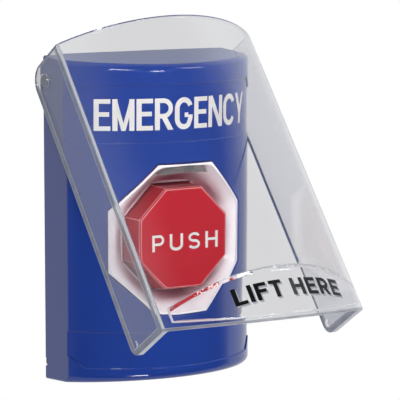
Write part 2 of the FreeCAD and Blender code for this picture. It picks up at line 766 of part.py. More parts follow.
def make_push_button():
    """The red octagonal cap: drafted sides, bevelled face, a stop flange and a rod boss."""
    body = new_body("push_button", "-surround_drop")
    cap = outline_sketch(body, "XY_Plane", octagon(BUTTON_REAR), offset=STOP_FRONT)
    feature = pad(body, cap, f"button_reach - {STOP_FRONT}")
    feature.setExpression("TaperAngle", bound("-button_draft"))
    doc.recompute()
    face = number("button_reach")
    front = edges_where(body.Tip.Shape, lambda e: e.BoundBox.ZMin > face - NEAR)
    dress(body, "Chamfer", front, "button_bevel")
    stop = outline_sketch(body, "XY_Plane", octagon(f"({THROAT} + 2 * button_stop_wide)"),
                          offset=STOP_BACK)
    pad(body, stop, "button_stop_thick")
    hollow = outline_sketch(body, "XY_Plane", octagon("(button_across - 2 * button_wall)"),
                            offset=STOP_BACK)
    pocket(body, hollow, f"{BUTTON_ROOF} - {STOP_BACK}", back=True)
    boss = circle_sketch(body, "XY_Plane", [("0", "0", "boss_radius")], BOSS_END)
    pad(body, boss, "boss_long + button_wall / 4")
    bore = circle_sketch(body, "XY_Plane", [("0", "0", "spigot_radius + thread_gap")], BOSS_END)
    pocket(body, bore, "spigot_long + rest_gap", back=True)
    return body


def revolved_body(label, profile, up):
    """A body turned about its z axis from (radius, height) corners."""
    body = new_body(label, up)
    sketch = outline_sketch(body, "XZ_Plane", profile)
    spin = body.newObject("PartDesign::Revolution", f"{label}_turn")
    spin.Profile = sketch
    spin.ReferenceAxis = (sketch, ["V_Axis"])
    spin.Angle = 360
    doc.recompute()
    return body


def make_button_rod():
    """The white rod that the cap drives, with a spigot in the cap's boss."""
    return revolved_body("button_rod", [
        ("0", ROD_END), ("rod_radius", ROD_END), ("rod_radius", BOSS_END),
        ("spigot_radius", BOSS_END), ("spigot_radius", f"({BOSS_END} + spigot_long)"),
        ("0", f"({BOSS_END} + spigot_long)")], "-surround_drop")


def make_contact_follower():
    """The small pin that carries the rod's stroke into the contact block."""
    return revolved_body("contact_follower", [
        ("0", f"({ROD_END} - follower_long)"), ("follower_radius", f"({ROD_END} - follower_long)"),
        ("follower_radius", ROD_END), ("0", ROD_END)], "-surround_drop")


def make_return_spring():
    """The compression spring round the boss, between the carrier and the cap's roof."""
    wire, radius = number("spring_wire"), number("spring_radius")
    low = number(f"{CARRIER_FRONT} + spring_wire / 2 + spring_gap")
    height = number(f"{BUTTON_ROOF} - spring_wire / 2 - spring_gap") - low
    helix = Part.makeHelix(height / number("spring_turns"), height, radius)
    section = Part.Wire(Part.makeCircle(wire / 2, Vector(radius, 0, 0), Vector(0, 1, 0)))
    coil = Part.Wire(helix.Edges).makePipeShell([section], True, True)
    coil.translate(Vector(0, 0, low))
    return in_wall_frame("return_spring", [coil], "-surround_drop")


def make_contact_carrier():
    """The steel plate behind the button that carries the contact block and seats the spring."""
    body = new_body("contact_carrier", "-surround_drop")
    across = "(2 * (post_spot + carrier_margin))"
    plate = cut_rectangle(across, across, "carrier_corner")
    pad(body, outline_sketch(body, "XY_Plane", plate, offset=CARRIER_BACK), "carrier_thick")
    holes = four_corners("post_spot", "post_spot", "screw_radius + clearance_gap")
    holes.append(("0", "0", "rod_radius + rest_gap"))
    holes.append(("0", BLOCK_SCREW_Y, "screw_radius + thread_gap"))
    holes.append(("0", f"-{BLOCK_SCREW_Y}", "screw_radius + thread_gap"))
    pocket(body, circle_sketch(body, "XY_Plane", holes), back=True)
    return body


def make_contact_block():
    """The black contact block: the follower's bore, four terminal pockets, two screw holes."""
    body = new_body("contact_block", "-surround_drop")
    outline = cut_rectangle("block_wide", "block_tall", "block_corner")
    pad(body, outline_sketch(body, "XY_Plane", outline, offset="block_back"),
        f"{CARRIER_BACK} - block_back")
    bore = circle_sketch(body, "XY_Plane", [("0", "0", "follower_radius + rest_gap")], CARRIER_BACK)
    pocket(body, bore, "follower_long + button_travel")
    mouth = circle_sketch(body, "XY_Plane", [("0", "0", "rod_radius + rest_gap")], CARRIER_BACK)
    pocket(body, mouth, "button_travel")
    half = "terminal_side / 2"
    for x_side in ("", "-"):
        for y_side in ("", "-"):
            x, y = f"{x_side}{TERMINAL_X}", f"{y_side}{TERMINAL_Y}"
            corners = [(f"{x} - {half}", f"{y} - {half}"), (f"{x} + {half}", f"{y} - {half}"),
                       (f"{x} + {half}", f"{y} + {half}"), (f"{x} - {half}", f"{y} + {half}")]
            pocket(body, outline_sketch(body, "XY_Plane", corners, offset="block_back"),
                   "terminal_deep", back=True)
    pilots = four_corners(TERMINAL_X, TERMINAL_Y, "screw_radius + thread_gap")
    pocket(body, circle_sketch(body, "XY_Plane", pilots, "block_back"),
           "terminal_deep + terminal_screw_long", back=True)
    screws = [("0", BLOCK_SCREW_Y), ("0", f"-{BLOCK_SCREW_Y}")]
    seats = [(x, y, "screw_head_radius + clearance_gap") for x, y in screws]
    pocket(body, circle_sketch(body, "XY_Plane", seats, "block_back"),
           "screw_head_tall + rest_gap", back=True)
    through = [(x, y, "screw_radius + thread_gap") for x, y in screws]
    pocket(body, circle_sketch(body, "XY_Plane", through), back=True)
    return body


def make_terminals():
    """Four brass clamps in the block's pockets, and the screws that hold them."""
    side, thick = number("terminal_side - 2 * rest_gap"), number("clamp_thick")
    floor = number("block_back + terminal_deep")
    hole = number("screw_radius + thread_gap")
    clamps = []
    spots = four_corners(TERMINAL_X, TERMINAL_Y, "0")
    for x, y, _ in spots:
        place = Vector(number(x), number(y), floor - thick)
        clamp = Part.makeBox(side, side, thick, place - Vector(side / 2, side / 2, 0))
        clamps.append(clamp.cut(Part.makeCylinder(hole, thick, place)))
    plates = in_wall_frame("terminal_clamps", clamps, "-surround_drop")
    screws = screw_group("terminal_screws", spots, "block_back + terminal_deep - clamp_thick",
                         "terminal_screw_long", "-surround_drop")
    return [plates, screws]


def pipe_outline(gap="0"):
    """The light pipe from the front: two shallow arches between slanting ends."""
    foot, shoulder = f"(pipe_wide / 2 + {gap})", f"(pipe_wide / 2 - pipe_shoulder + {gap})"
    low, high = f"({PIPE_LOW} - {gap})", f"({PIPE_LOW} + pipe_side_tall + {gap})"
    rise = "(pipe_tall - pipe_side_tall)"
    corners = [(foot, low), (shoulder, high), (f"-{shoulder}", high), (f"-{foot}", low)]
    return corners, {1: (f"(({shoulder} ^ 2 + {rise} ^ 2) / (2 * {rise}))", 1),
                     3: (f"(({foot} ^ 2 + {rise} ^ 2) / (2 * {rise}))", -1)}


def make_light_pipe():
    """The clear arched bar over the button, which carries light from the board to the front."""
    body = new_body("light_pipe", "-surround_drop")
    corners, arcs = pipe_outline()
    back = f"({BOARD_FRONT} + lamp_tall + rest_gap)"
    pad(body, outline_sketch(body, "XY_Plane", corners, arcs, back),
        f"{SHOULDER} + front_bulge - {back}")
    half, level = f"(pipe_wide / 2 + {OVERRUN})", f"({SHOULDER} + front_bulge + {OVERRUN})"
    edge = front_at(half, "pipe_sink")
    trim = [(half, edge), (f"-{half}", edge), (f"-{half}", level), (half, level)]
    pocket(body, outline_sketch(body, "XZ_Plane", trim, {0: (f"({FRONT_RADIUS} - pipe_sink)", 1)}),
           both=True)
    return body


def make_lamp_board():
    """The small circuit board behind the surround, with its lamps and screws."""
    body = new_body("lamp_board", "-surround_drop")
    half, low = "board_wide / 2", f"({PIPE_LOW} - board_below)"
    corners = [(f"-{half}", low), (half, low), (half, f"({low} + board_tall)"),
               (f"-{half}", f"({low} + board_tall)")]
    pad(body, outline_sketch(body, "XY_Plane", corners, offset=f"({BOARD_FRONT} - board_thick)"),
        "board_thick")
    holes = both_sides("board_screw_x", BOARD_SCREW_Y, "small_screw_radius + clearance_gap")
    pocket(body, circle_sketch(body, "XY_Plane", holes), back=True)
    side, tall = number("lamp_side"), number("lamp_tall")
    lamps = [Part.makeBox(side, side, tall,
                          Vector(x - side / 2, number(f"{PIPE_LOW} + rest_gap"),
                                 number(BOARD_FRONT)))
             for x in (-number("lamp_x"), number("lamp_x"))]
    group = in_wall_frame("board_lamps", lamps, "-surround_drop")
    screws = screw_group("board_screws", holes, f"{BOARD_FRONT} - board_thick",
                         "board_thick + board_screw_bite", "-surround_drop", small=True)
    return [body, group, screws]


def make_inner_screws():
    """The screws that fix the surround, the carrier and the contact block."""
    surround = four_corners("surround_screw_x", SURROUND_SCREW_Y, "0")
    carrier = four_corners("post_spot", "post_spot", "0")
    block = [("0", BLOCK_SCREW_Y, "0"), ("0", f"-{BLOCK_SCREW_Y}", "0")]
    return [
        screw_group("surround_screws", surround, "flange_level",
                    "flange_thick + surround_screw_bite", "-surround_drop"),
        screw_group("carrier_screws", carrier, CARRIER_BACK,
                    "carrier_thick + carrier_screw_bite", "-surround_drop"),
        screw_group("block_screws", block, "block_back + screw_head_tall + rest_gap",
                    f"{CARRIER_FRONT} - block_back - screw_head_tall - 2 * rest_gap",
                    "-surround_drop"),
    ]


def make_lock_screws():
    """The two screws that hold the housing to the plate's lower tabs, from below."""
    seat, out = number(LOCK_SEAT), number("lock_screw_out")
    sizes = [number(name) for name in ("screw_radius", "screw_head_radius", "lock_head_tall",
                                       "lock_screw_long")]
    solids = [pan_screw(Vector(x, -seat, out), Vector(0, 1, 0), *sizes)
              for x in (-number("tab_spacing / 2"), number("tab_spacing / 2"))]
    return in_wall_frame("lock_screws", solids)


def hinge_frame(feature):
    """Sets a piece on the hinge axis, opened by the cover's rest angle."""
    feature.Placement = Placement(Vector(0, 0, 0), Rotation(Vector(1, 0, 0), 1))
    feature.setExpression("Placement.Base.y", bound("-pivot_out"))
    feature.setExpression("Placement.Base.z", bound(PIVOT_HEIGHT))
    feature.setExpression("Placement.Rotation.Angle", bound("90 - open_angle"))


def cover_line(slope, start_y, start_z, z):
    """The height of a sloping line in the cover's side view."""
    return f"({start_y} - ({z} - ({start_z})) * ({slope}))"


def cover_plan(body, outer, inner):
    """The cover seen from above: two side walls and an arc, between an outer and inner offset."""
    half_out, half_in = f"({COVER_HALF} + {outer})", f"({COVER_HALF} - {inner})"
    radius_out, radius_in = f"({COVER_RADIUS} + {outer})", f"({COVER_RADIUS} - {inner})"
    back = f"-(cover_ear + {OVERRUN})"
    reach_out = f"({COVER_CENTRE} + sqrt({radius_out} ^ 2 - {half_out} ^ 2))"
    reach_in = f"({COVER_CENTRE} + sqrt({radius_in} ^ 2 - {half_in} ^ 2))"
    corners = [(f"-{half_out}", back), (f"-{half_in}", back), (f"-{half_in}", reach_in),
               (half_in, reach_in), (half_in, back), (half_out, back),
               (half_out, reach_out), (f"-{half_out}", reach_out)]
    return outline_sketch(body, "XZ_Plane", corners,
                          {2: (radius_in, -1), 6: (radius_out, 1)})


def trim_to(body, corners, arcs=None):
    """Cuts away everything outside a side view."""
    sketch = new_sketch(body, "YZ_Plane")
    far = f"({COVER_BLANK} + {OVERRUN})"
    add_outline(sketch, [(f"-{far}", f"-{far}"), (far, f"-{far}"), (far, far), (f"-{far}", far)])
    add_outline(sketch, corners, arcs)
    pocket(body, sketch, both=True)


APEX = f"(cover_reach + cover_bulge + {OVERRUN})"
CHIN_SLOPE = "(cover_chin / cover_bulge)"


def cover_side_view():
    """The cover from the side: ear about the hinge, upright rear edge, heel and slanted chin."""
    lean = "cover_top_angle"
    ear_top = (f"(cover_ear * cos({lean}))", f"(cover_ear * sin({lean}))")
    top_front = (f"({ear_top[0]} - ({APEX} - {ear_top[1]}) * tan({lean}))", APEX)
    heel_low = (f"-({COVER_DROP} - cover_heel_rise)", "-(cover_ear - cover_heel)")
    corners = [
        ear_top, ("0", "-cover_ear"),
        (f"-({COVER_DROP} - cover_heel_rise - cover_heel)", "-cover_ear"), heel_low,
        (f"-{COVER_DROP}", "cover_reach"),
        (cover_line(CHIN_SLOPE, f"-{COVER_DROP}", "cover_reach", APEX), APEX), top_front]
    return corners, {0: ("cover_ear", -1), 2: ("cover_heel", -1)}


def lip_edge(kind, z):
    """The height of the lip's top or low edge at z, along its slope in the side view."""
    side, middle = f"lip_{kind}_side", f"lip_{kind}_middle"
    return (f"({side} - {COVER_DROP} + ({middle} - {side}) / cover_bulge"
            f" * (({z}) - cover_reach))")


def make_lip():
    """The raised lifting lip across the foot of the cover's front, thickest in the middle."""
    body = new_body("cover_lip")
    hinge_frame(body)
    half = f"({COVER_HALF} - lip_margin)"
    wall_z = f"({COVER_CENTRE} + sqrt({COVER_RADIUS} ^ 2 - {half} ^ 2))"
    out_z = f"({wall_z} + lip_end_raise)"
    rise = f"(cover_reach + cover_bulge + lip_raise - {out_z})"
    radius = f"(({half} ^ 2 + {rise} ^ 2) / (2 * {rise}))"
    inner = f"({COVER_RADIUS} - cover_wall / 2)"
    in_z = f"({COVER_CENTRE} + sqrt({inner} ^ 2 - {half} ^ 2))"
    corners = [(f"-{half}", in_z), (half, in_z), (half, out_z), (f"-{half}", out_z)]
    sketch = outline_sketch(body, "XZ_Plane", corners, {0: (inner, -1), 2: (radius, 1)})
    pad(body, sketch, f"2 * {COVER_BLANK}", both=True)
    near, far = f"(cover_reach - {OVERRUN})", APEX
    view = [(lip_edge("top", near), near), (lip_edge("low", near), near),
            (lip_edge("low", far), far), (lip_edge("top", far), far)]
    trim_to(body, view)
    big, centre = number(radius), number(f"(cover_reach + cover_bulge + lip_raise - {radius})")

    def on_face(edge):
        return lies_on_arc(points_along(edge), big, centre)

    dress(body, "Fillet", edges_where(body.Tip.Shape, on_face), "lip_edge")
    return body


def snap_bumps():
    """Two low domes inside the side walls that grip the housing's sides when it is shut."""
    half = number(f"{COVER_HALF} - cover_wall")
    radius, tall = number("bump_radius"), number("bump_tall")
    sphere = (radius ** 2 + tall ** 2) / (2 * tall)
    y, z = number(f"bump_rise - {COVER_DROP}"), -number("bump_level")
    root = number("cover_wall / 4")
    domes = []
    for side in (-1, 1):
        ball = Part.makeSphere(sphere, Vector(side * (half + sphere - tall), y, z))
        slab = Part.makeBox(tall + root, 4 * radius, 4 * radius,
                            Vector(side * (half + root) - (tall + root) * (side > 0),
                                   y - 2 * radius, z - 2 * radius))
        domes.append(ball.common(slab))
    feature = doc.addObject("Part::Feature", "snap_bumps")
    feature.Shape = Part.makeCompound(domes)
    hinge_frame(feature)
    return feature


def make_lift_cover():
    """The clear cover in its lifted rest position: walls, lip and snap bumps as one moulding."""
    walls = new_body("cover_walls")
    hinge_frame(walls)
    pad(walls, cover_plan(walls, "0", "cover_wall"), f"2 * {COVER_BLANK}", both=True)
    half, reach = number(COVER_HALF), number("cover_reach")
    ridges = [Vector(x, y, reach) for x in (-half, half)
              for y in (walls.Tip.Shape.BoundBox.YMin, walls.Tip.Shape.BoundBox.YMax)]
    dress(walls, "Fillet", edges_where(walls.Tip.Shape, lambda e: ends_at(e, ridges) and
                                       e.BoundBox.XLength < NEAR), "cover_edge")
    corners, arcs = cover_side_view()
    trim_to(walls, corners, arcs)
    pocket(walls, circle_sketch(walls, "YZ_Plane", [("0", "0", "pin_radius + pin_gap")]), both=True)
    cover = doc.addObject("Part::MultiFuse", "lift_cover")
    cover.Label = "lift_cover"
    cover.Shapes = [walls, make_lip(), snap_bumps()]
    cover.Refine = True
    doc.recompute()
    return cover


def clip_mouth(centre, x, inner):
    """The mouth of a clip, open towards the wall and narrower than the waist, so it snaps on."""
    mouth_share = 0.9
    wide, deep = mouth_share * 2 * inner, 2 * number("clip_radius")
    return Part.makeBox(deep, wide, deep, centre + Vector(x - deep / 2, -wide / 2, -deep))


def make_hinge(side, name):
    """One grey hinge pin, shouldered against the housing, and the clip on its tail."""
    outer, wall, groove = number(COVER_HALF), number("housing_width / 2"), number(PIN_END)
    thick, depth, tail = number("clip_thick"), number("clip_depth"), number("clip_tail")
    pin, neck = number("pin_radius"), number("pin_neck_radius")
    waist, edge, play = neck - depth, number("pin_chamfer"), number("clip_play")
    behind = groove - thick - 2 * play
    profile = [(0, outer), (pin - edge, outer), (pin, outer - edge), (pin, wall), (neck, wall),
               (neck, groove), (waist, groove), (waist, behind), (neck, behind),
               (neck, behind - tail), (0, behind - tail)]
    centre = Vector(0, number(PIVOT_HEIGHT), number("pivot_out"))
    pin_solid = turned(profile, centre, Vector(side, 0, 0))
    inner = waist + number("thread_gap")
    rim = number("clip_radius")
    band = [(inner, behind + play), (rim, behind + play), (rim, groove - play),
            (inner, groove - play)]
    clip = turned(band, centre, Vector(side, 0, 0)).cut(clip_mouth(centre, side * groove, inner))
    return [in_wall_frame(f"hinge_pin_{name}", [pin_solid]),
            in_wall_frame(f"pin_clip_{name}", [clip])]


def check(features):
    """Stops if any object failed or any sub-part isn't a sound solid."""
    for item in doc.Objects:
        if "Invalid" in item.State or "Error" in item.State:
            raise RuntimeError(f"{item.Label} failed: {item.State}")
    for feature in features:
        if feature.Shape.isNull() or not feature.Shape.isValid() or not feature.Shape.Solids:
            raise RuntimeError(f"{feature.Label} has no valid solid")


def export(features):
    """Writes one STEP file for each sub-part, named by its label."""
    os.makedirs("parts", exist_ok=True)
    for feature in features:
        feature.Shape.exportStep(f"parts/{feature.Label}.step")
        box = feature.Shape.BoundBox
        print(f"{feature.Label:18s} solids {len(feature.Shape.Solids)} volume "
              f"{feature.Shape.Volume:9.1f}  x {box.XMin:7.2f} {box.XMax:7.2f}  "
              f"y {box.YMin:7.2f} {box.YMax:7.2f}  z {box.ZMin:7.2f} {box.ZMax:7.2f}")


def main():
    parts = [make_wall_seal(), make_mounting_plate(), make_front_housing(),
             make_button_surround(), make_push_button(), make_button_rod(),
             make_contact_follower(), make_return_spring(), make_contact_carrier(),
             make_contact_block(), make_light_pipe(), make_lock_screws(), make_lift_cover()]
    parts += make_terminals() + make_lamp_board() + make_inner_screws()
    parts += make_hinge(-1, "left") + make_hinge(1, "right")
    doc.recompute()
    check(parts)
    export(parts)
    print(len(parts), "sub-parts")


main()
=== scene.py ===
# %% [markdown]
# A wall-mounted panic button with a lift-up clear cover.
# The real station is a blue moulded housing with an octagonal red button set in a white
# dished surround, and a clear polycarbonate cover that has to be lifted before the button
# can be pushed. This lesson dresses the station's imported model: it sets the camera and the
# studio, makes one material for each real finish, winds the return spring, and prints three
# words on their surfaces as thin meshes.
# The rigid pieces could be modelled again here, but then the picture and the physics would
# drift apart. So they come from the imported model as they are, and only get their finish.

# %% Imports and the fixed frame
import math

import bpy
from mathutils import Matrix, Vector


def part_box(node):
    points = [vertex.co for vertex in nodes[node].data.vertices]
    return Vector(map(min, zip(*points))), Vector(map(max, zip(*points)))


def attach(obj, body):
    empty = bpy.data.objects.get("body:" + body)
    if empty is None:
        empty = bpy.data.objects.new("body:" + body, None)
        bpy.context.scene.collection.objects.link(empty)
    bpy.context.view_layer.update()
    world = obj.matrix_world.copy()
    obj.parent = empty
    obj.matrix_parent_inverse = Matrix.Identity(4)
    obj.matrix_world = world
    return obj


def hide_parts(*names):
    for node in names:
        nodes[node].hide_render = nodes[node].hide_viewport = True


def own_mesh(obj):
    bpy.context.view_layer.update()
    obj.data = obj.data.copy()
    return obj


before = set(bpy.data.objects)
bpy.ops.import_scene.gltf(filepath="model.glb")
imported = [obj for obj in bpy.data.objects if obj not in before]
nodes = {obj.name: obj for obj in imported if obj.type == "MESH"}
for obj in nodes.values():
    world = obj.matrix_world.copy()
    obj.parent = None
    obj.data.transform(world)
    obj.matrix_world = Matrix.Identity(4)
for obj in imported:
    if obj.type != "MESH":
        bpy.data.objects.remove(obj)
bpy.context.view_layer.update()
print("nodes in the frame:", len(nodes))

# %% [markdown]
# Blender measures in metres, and a product like this is thought of in millimetres, so one
# short function converts. Colours are noted as sRGB hex, as a colour picker shows them, and
# a second function turns them into the linear values that shaders work in. Linear values
# could be typed straight in, but nobody can picture a colour from them.


# %% Units and colours
def mm(*values):
    """Millimetres to metres: one value gives a number, several give a Vector."""
    scaled = [value / 1000 for value in values]
    return scaled[0] if len(scaled) == 1 else Vector(scaled)


def linear(hex_colour, alpha=1.0):
    """An sRGB hex colour as linear RGBA, by the curve of the sRGB standard."""
    channels = [int(hex_colour[i:i + 2], 16) / 255 for i in (1, 3, 5)]
    curve = [c / 12.92 if c <= 0.04045 else ((c + 0.055) / 1.055) ** 2.4 for c in channels]
    return (*curve, alpha)


print("a mid grey of #808080 is", round(linear("#808080")[0], 3), "in linear light")

# %% [markdown]
# The camera stands to the left of the station and a little above it, as a product
# photographer's would. A long lens keeps the sides nearly parallel. The view could be set by
# eye, but the station has long straight edges, and a camera worked out from them puts all
# of them in their places at once, with no lens shift.

# %% Camera
CAMERA_PLACE = mm(-471.59, -807.03, 124.70)
CAMERA_TURN = 31.939
CAMERA_DIP = 7.353
CAMERA_LENS = 212.8
SENSOR_WIDE = 36

camera_data = bpy.data.cameras.new("product_camera")
camera_data.lens = CAMERA_LENS
camera_data.sensor_width = SENSOR_WIDE
camera_data.clip_start = 0.05
camera_data.clip_end = 20
camera = bpy.data.objects.new("product_camera", camera_data)
camera.location = CAMERA_PLACE
camera.rotation_euler = [math.radians(90 - CAMERA_DIP), 0, math.radians(-CAMERA_TURN)]
bpy.context.collection.objects.link(camera)
bpy.context.scene.camera = camera
bpy.context.scene.view_settings.view_transform = "Standard"
print("camera stands", round(camera.location.length * 1000), "mm from the origin")

# %% [markdown]
# Every material is a small tree of nodes. Each node could be made with three or four lines
# of its own, but then the tree's plan is lost among them. One function adds a node, sets its
# options and joins its inputs, so each material below reads as a short list of its parts.


# %% A helper that adds one node
def add_node(tree, kind, options=None, **inputs):
    """Adds one node with its settings and links.

    options sets the node's own properties. An input is named by its label, with _ for a
    space, or by its number, such as _6, where a node has several of one label. Its value is a
    number, a colour, a node whose first output is linked, or a node and the output to link.
    """
    node = tree.nodes.new(kind)
    for name, value in (options or {}).items():
        setattr(node, name, value)
    for name, value in inputs.items():
        number = name[1:]
        socket = node.inputs[int(number) if number.isdigit() else name.replace("_", " ")]
        if isinstance(value, bpy.types.Node):
            value = (value, 0)
        if isinstance(value, tuple) and isinstance(value[0], bpy.types.Node):
            tree.links.new(value[0].outputs[value[1]], socket)
        else:
            socket.default_value = value
    return node


def new_material(name):
    """An empty material, its tree and its output node."""
    material = bpy.data.materials.new(name)
    material.use_nodes = True
    tree = material.node_tree
    tree.nodes.clear()
    return material, tree, tree.nodes.new("ShaderNodeOutputMaterial")


# Options that many nodes share.
COLOURS = {"data_type": "RGBA"}
SMOOTH = {"interpolation_type": "SMOOTHSTEP"}
MULTIPLY = {"operation": "MULTIPLY"}
SUBTRACT = {"operation": "SUBTRACT"}
MINIMUM = {"operation": "MINIMUM"}
LESS_THAN = {"operation": "LESS_THAN"}


# %% [markdown]
# The photograph's studio is a white sweep: white card behind the object, so that the clear
# cover, the top and the far side mirror it, and a dark room in front, which keeps the blue
# front deep. Cards and flags could stand round the station as objects. The world does the
# same with gradients, which render faster. One runs along Y, from
# the dark room in front to the card behind, which is a little below pure white, as a lit
# card is. Only the camera sees it as the pure white of the picture's background. A grey wing
# stands behind the station on the left, where the housing's side and the cover's near wall
# mirror it, and the sweep falls off to the same grey higher up, which the housing's flat top
# mirrors. What is seen through a clear wall keeps the plain white sweep.

# %% World
ROOM_IN_FRONT = "#54565c"
SWEEP_BEHIND = "#ebebec"
SWEEP_STARTS = -0.38
SWEEP_FULL = 0.08
WING_AT_LEFT = "#8391a8"
WING_STARTS = -0.2
WING_FULL = -0.5
UPPER_SHADE = 0.45
SHADE_FULL = 0.12
PURE_WHITE = "#ffffff"

world = bpy.data.worlds.new("white_sweep")
world.use_nodes = True
bpy.context.scene.world = world
sky = world.node_tree
sky.nodes.clear()
direction = add_node(sky, "ShaderNodeTexCoord")
axes = add_node(sky, "ShaderNodeSeparateXYZ", Vector=(direction, "Generated"))
sweep = add_node(sky, "ShaderNodeMapRange", SMOOTH,
                 Value=(axes, "Y"), From_Min=SWEEP_STARTS, From_Max=SWEEP_FULL)
wing = add_node(sky, "ShaderNodeMapRange", SMOOTH,
                Value=(axes, "X"), From_Min=WING_STARTS, From_Max=WING_FULL)
high = add_node(sky, "ShaderNodeMapRange", SMOOTH,
                Value=(axes, "Z"), From_Min=0.0, From_Max=SHADE_FULL, To_Max=UPPER_SHADE)
room = add_node(sky, "ShaderNodeMix", COLOURS, Factor=sweep,
                _6=linear(ROOM_IN_FRONT), _7=linear(SWEEP_BEHIND))
shade = add_node(sky, "ShaderNodeMath", {"operation": "MAXIMUM"}, _0=wing, _1=high)
ray = add_node(sky, "ShaderNodeLightPath")
not_through = add_node(sky, "ShaderNodeMath", SUBTRACT, _0=1.0, _1=(ray, "Is Transmission Ray"))
shade = add_node(sky, "ShaderNodeMath", MULTIPLY, _0=shade, _1=not_through)
shade = add_node(sky, "ShaderNodeMath", MULTIPLY, _0=shade, _1=sweep)
winged = add_node(sky, "ShaderNodeMix", COLOURS, Factor=shade, _6=(room, 2),
                  _7=linear(WING_AT_LEFT))
lit = add_node(sky, "ShaderNodeBackground", Color=(winged, 2), Strength=1.0)
pure = add_node(sky, "ShaderNodeBackground", Color=linear(PURE_WHITE), Strength=1.0)
shown = add_node(sky, "ShaderNodeMixShader", _0=(ray, "Is Camera Ray"), _1=lit, _2=pure)
add_node(sky, "ShaderNodeOutputWorld", Surface=shown)
print("world nodes:", len(sky.nodes))

# %% [markdown]
# Soft boxes give the form its shading. A sun would give sharper shadows than the photograph
# has, and the world alone would give none, so area lamps stand on spheres round the station.
# The key hangs in front, above and to the left, where the tilted cover doesn't mirror it into
# the camera, and a weaker one fills from the right. Two smaller ones, above and below, put
# the crisp glints on the rounded ends of the housing and on the button's edges.


# %% Lamps
def soft_box(name, azimuth, elevation, distance, size, power, target=(0, -0.03, 0)):
    """An area lamp on a sphere round the target. Azimuth 0 is in front, positive to the left."""
    turn = math.radians(azimuth)
    rise = math.radians(elevation)
    way = Vector((-math.sin(turn) * math.cos(rise), -math.cos(turn) * math.cos(rise),
                  math.sin(rise)))
    data = bpy.data.lights.new(name, "AREA")
    data.shape = "RECTANGLE"
    data.size, data.size_y = size
    data.energy = power
    lamp = bpy.data.objects.new(name, data)
    lamp.location = Vector(target) + way * distance
    lamp.rotation_euler = (-way).to_track_quat("-Z", "Y").to_euler()
    bpy.context.collection.objects.link(lamp)
    print(name, "of", power, "W stands", distance, "m away")


soft_box("key_box", azimuth=30, elevation=27, distance=1.5, size=(0.5, 0.4), power=8.5)
soft_box("fill_box", azimuth=-45, elevation=38, distance=1.6, size=(0.5, 0.4), power=5)
soft_box("upper_strip", azimuth=-3, elevation=13, distance=1.2, size=(0.24, 0.26), power=3.4)
soft_box("lower_strip", azimuth=14, elevation=-34, distance=1.2, size=(0.30, 0.08), power=3)

# %% [markdown]
# The sweep's floor is matt white card, well below the station, because a station hangs on a
# wall. A floor close under it would throw light up that the photograph doesn't have. The
# camera sees the card pure white, and gloss and glass see it a little darker, like the
# sweep behind. All other light falls on pale card that takes shadow.


# %% Floor
FLOOR_LEVEL = -0.35
FLOOR_HALF = 3.0
FLOOR_FRONT = -0.2
FLOOR_BACK = 6.0


def add_mesh(name, vertices, faces, material):
    """A new object of one mesh and one material."""
    mesh = bpy.data.meshes.new(name)
    mesh.from_pydata(vertices, [], faces)
    mesh.materials.append(material)
    new = bpy.data.objects.new(name, mesh)
    bpy.context.collection.objects.link(new)
    return new


white_card, tree, out = new_material("white_card")
path = add_node(tree, "ShaderNodeLightPath")
mirrored = add_node(tree, "ShaderNodeMath", {"operation": "MAXIMUM"},
                    _0=(path, "Is Transmission Ray"), _1=(path, "Is Glossy Ray"))
card = add_node(tree, "ShaderNodeBsdfDiffuse", Color=linear("#f2f2f2"))
lit_card = add_node(tree, "ShaderNodeEmission", Color=linear(SWEEP_BEHIND), Strength=1.0)
white = add_node(tree, "ShaderNodeEmission", Color=linear(PURE_WHITE), Strength=1.0)
in_gloss = add_node(tree, "ShaderNodeMixShader", _0=mirrored, _1=card, _2=lit_card)
in_camera = add_node(tree, "ShaderNodeMixShader", _0=(path, "Is Camera Ray"), _1=in_gloss, _2=white)
tree.links.new(in_camera.outputs[0], out.inputs[0])

floor_corners = [(-FLOOR_HALF, FLOOR_FRONT, FLOOR_LEVEL), (FLOOR_HALF, FLOOR_FRONT, FLOOR_LEVEL),
                 (FLOOR_HALF, FLOOR_BACK, FLOOR_LEVEL), (-FLOOR_HALF, FLOOR_BACK, FLOOR_LEVEL)]
floor = add_mesh("studio_floor", floor_corners, [(0, 1, 2, 3)], white_card)
print("floor lies", round(-FLOOR_LEVEL * 1000), "mm below the station's middle")

# %% [markdown]
# Most of the station is injection moulded plastic, and such a surface is a copy of its steel
# tool. A polished tool gives a deep even colour under a clear gloss, with the faintest
# orange-peel ripple, about 2 mm from crest to crest, which softens reflections a little. A
# spark-eroded tool gives a satin grain of under a millimetre. Moulded edges are never quite
# sharp. Ripple and rounding could both be modelled, but they are hundredths and tenths of a
# millimetre, so a Bump and a Bevel node turn the shading normals instead.


# %% Moulded plastics
RIPPLE_DEEP = 0.2
CLOUD_MM = 25.0
MOTTLE = 0.03
PLASTIC_IOR = 1.53


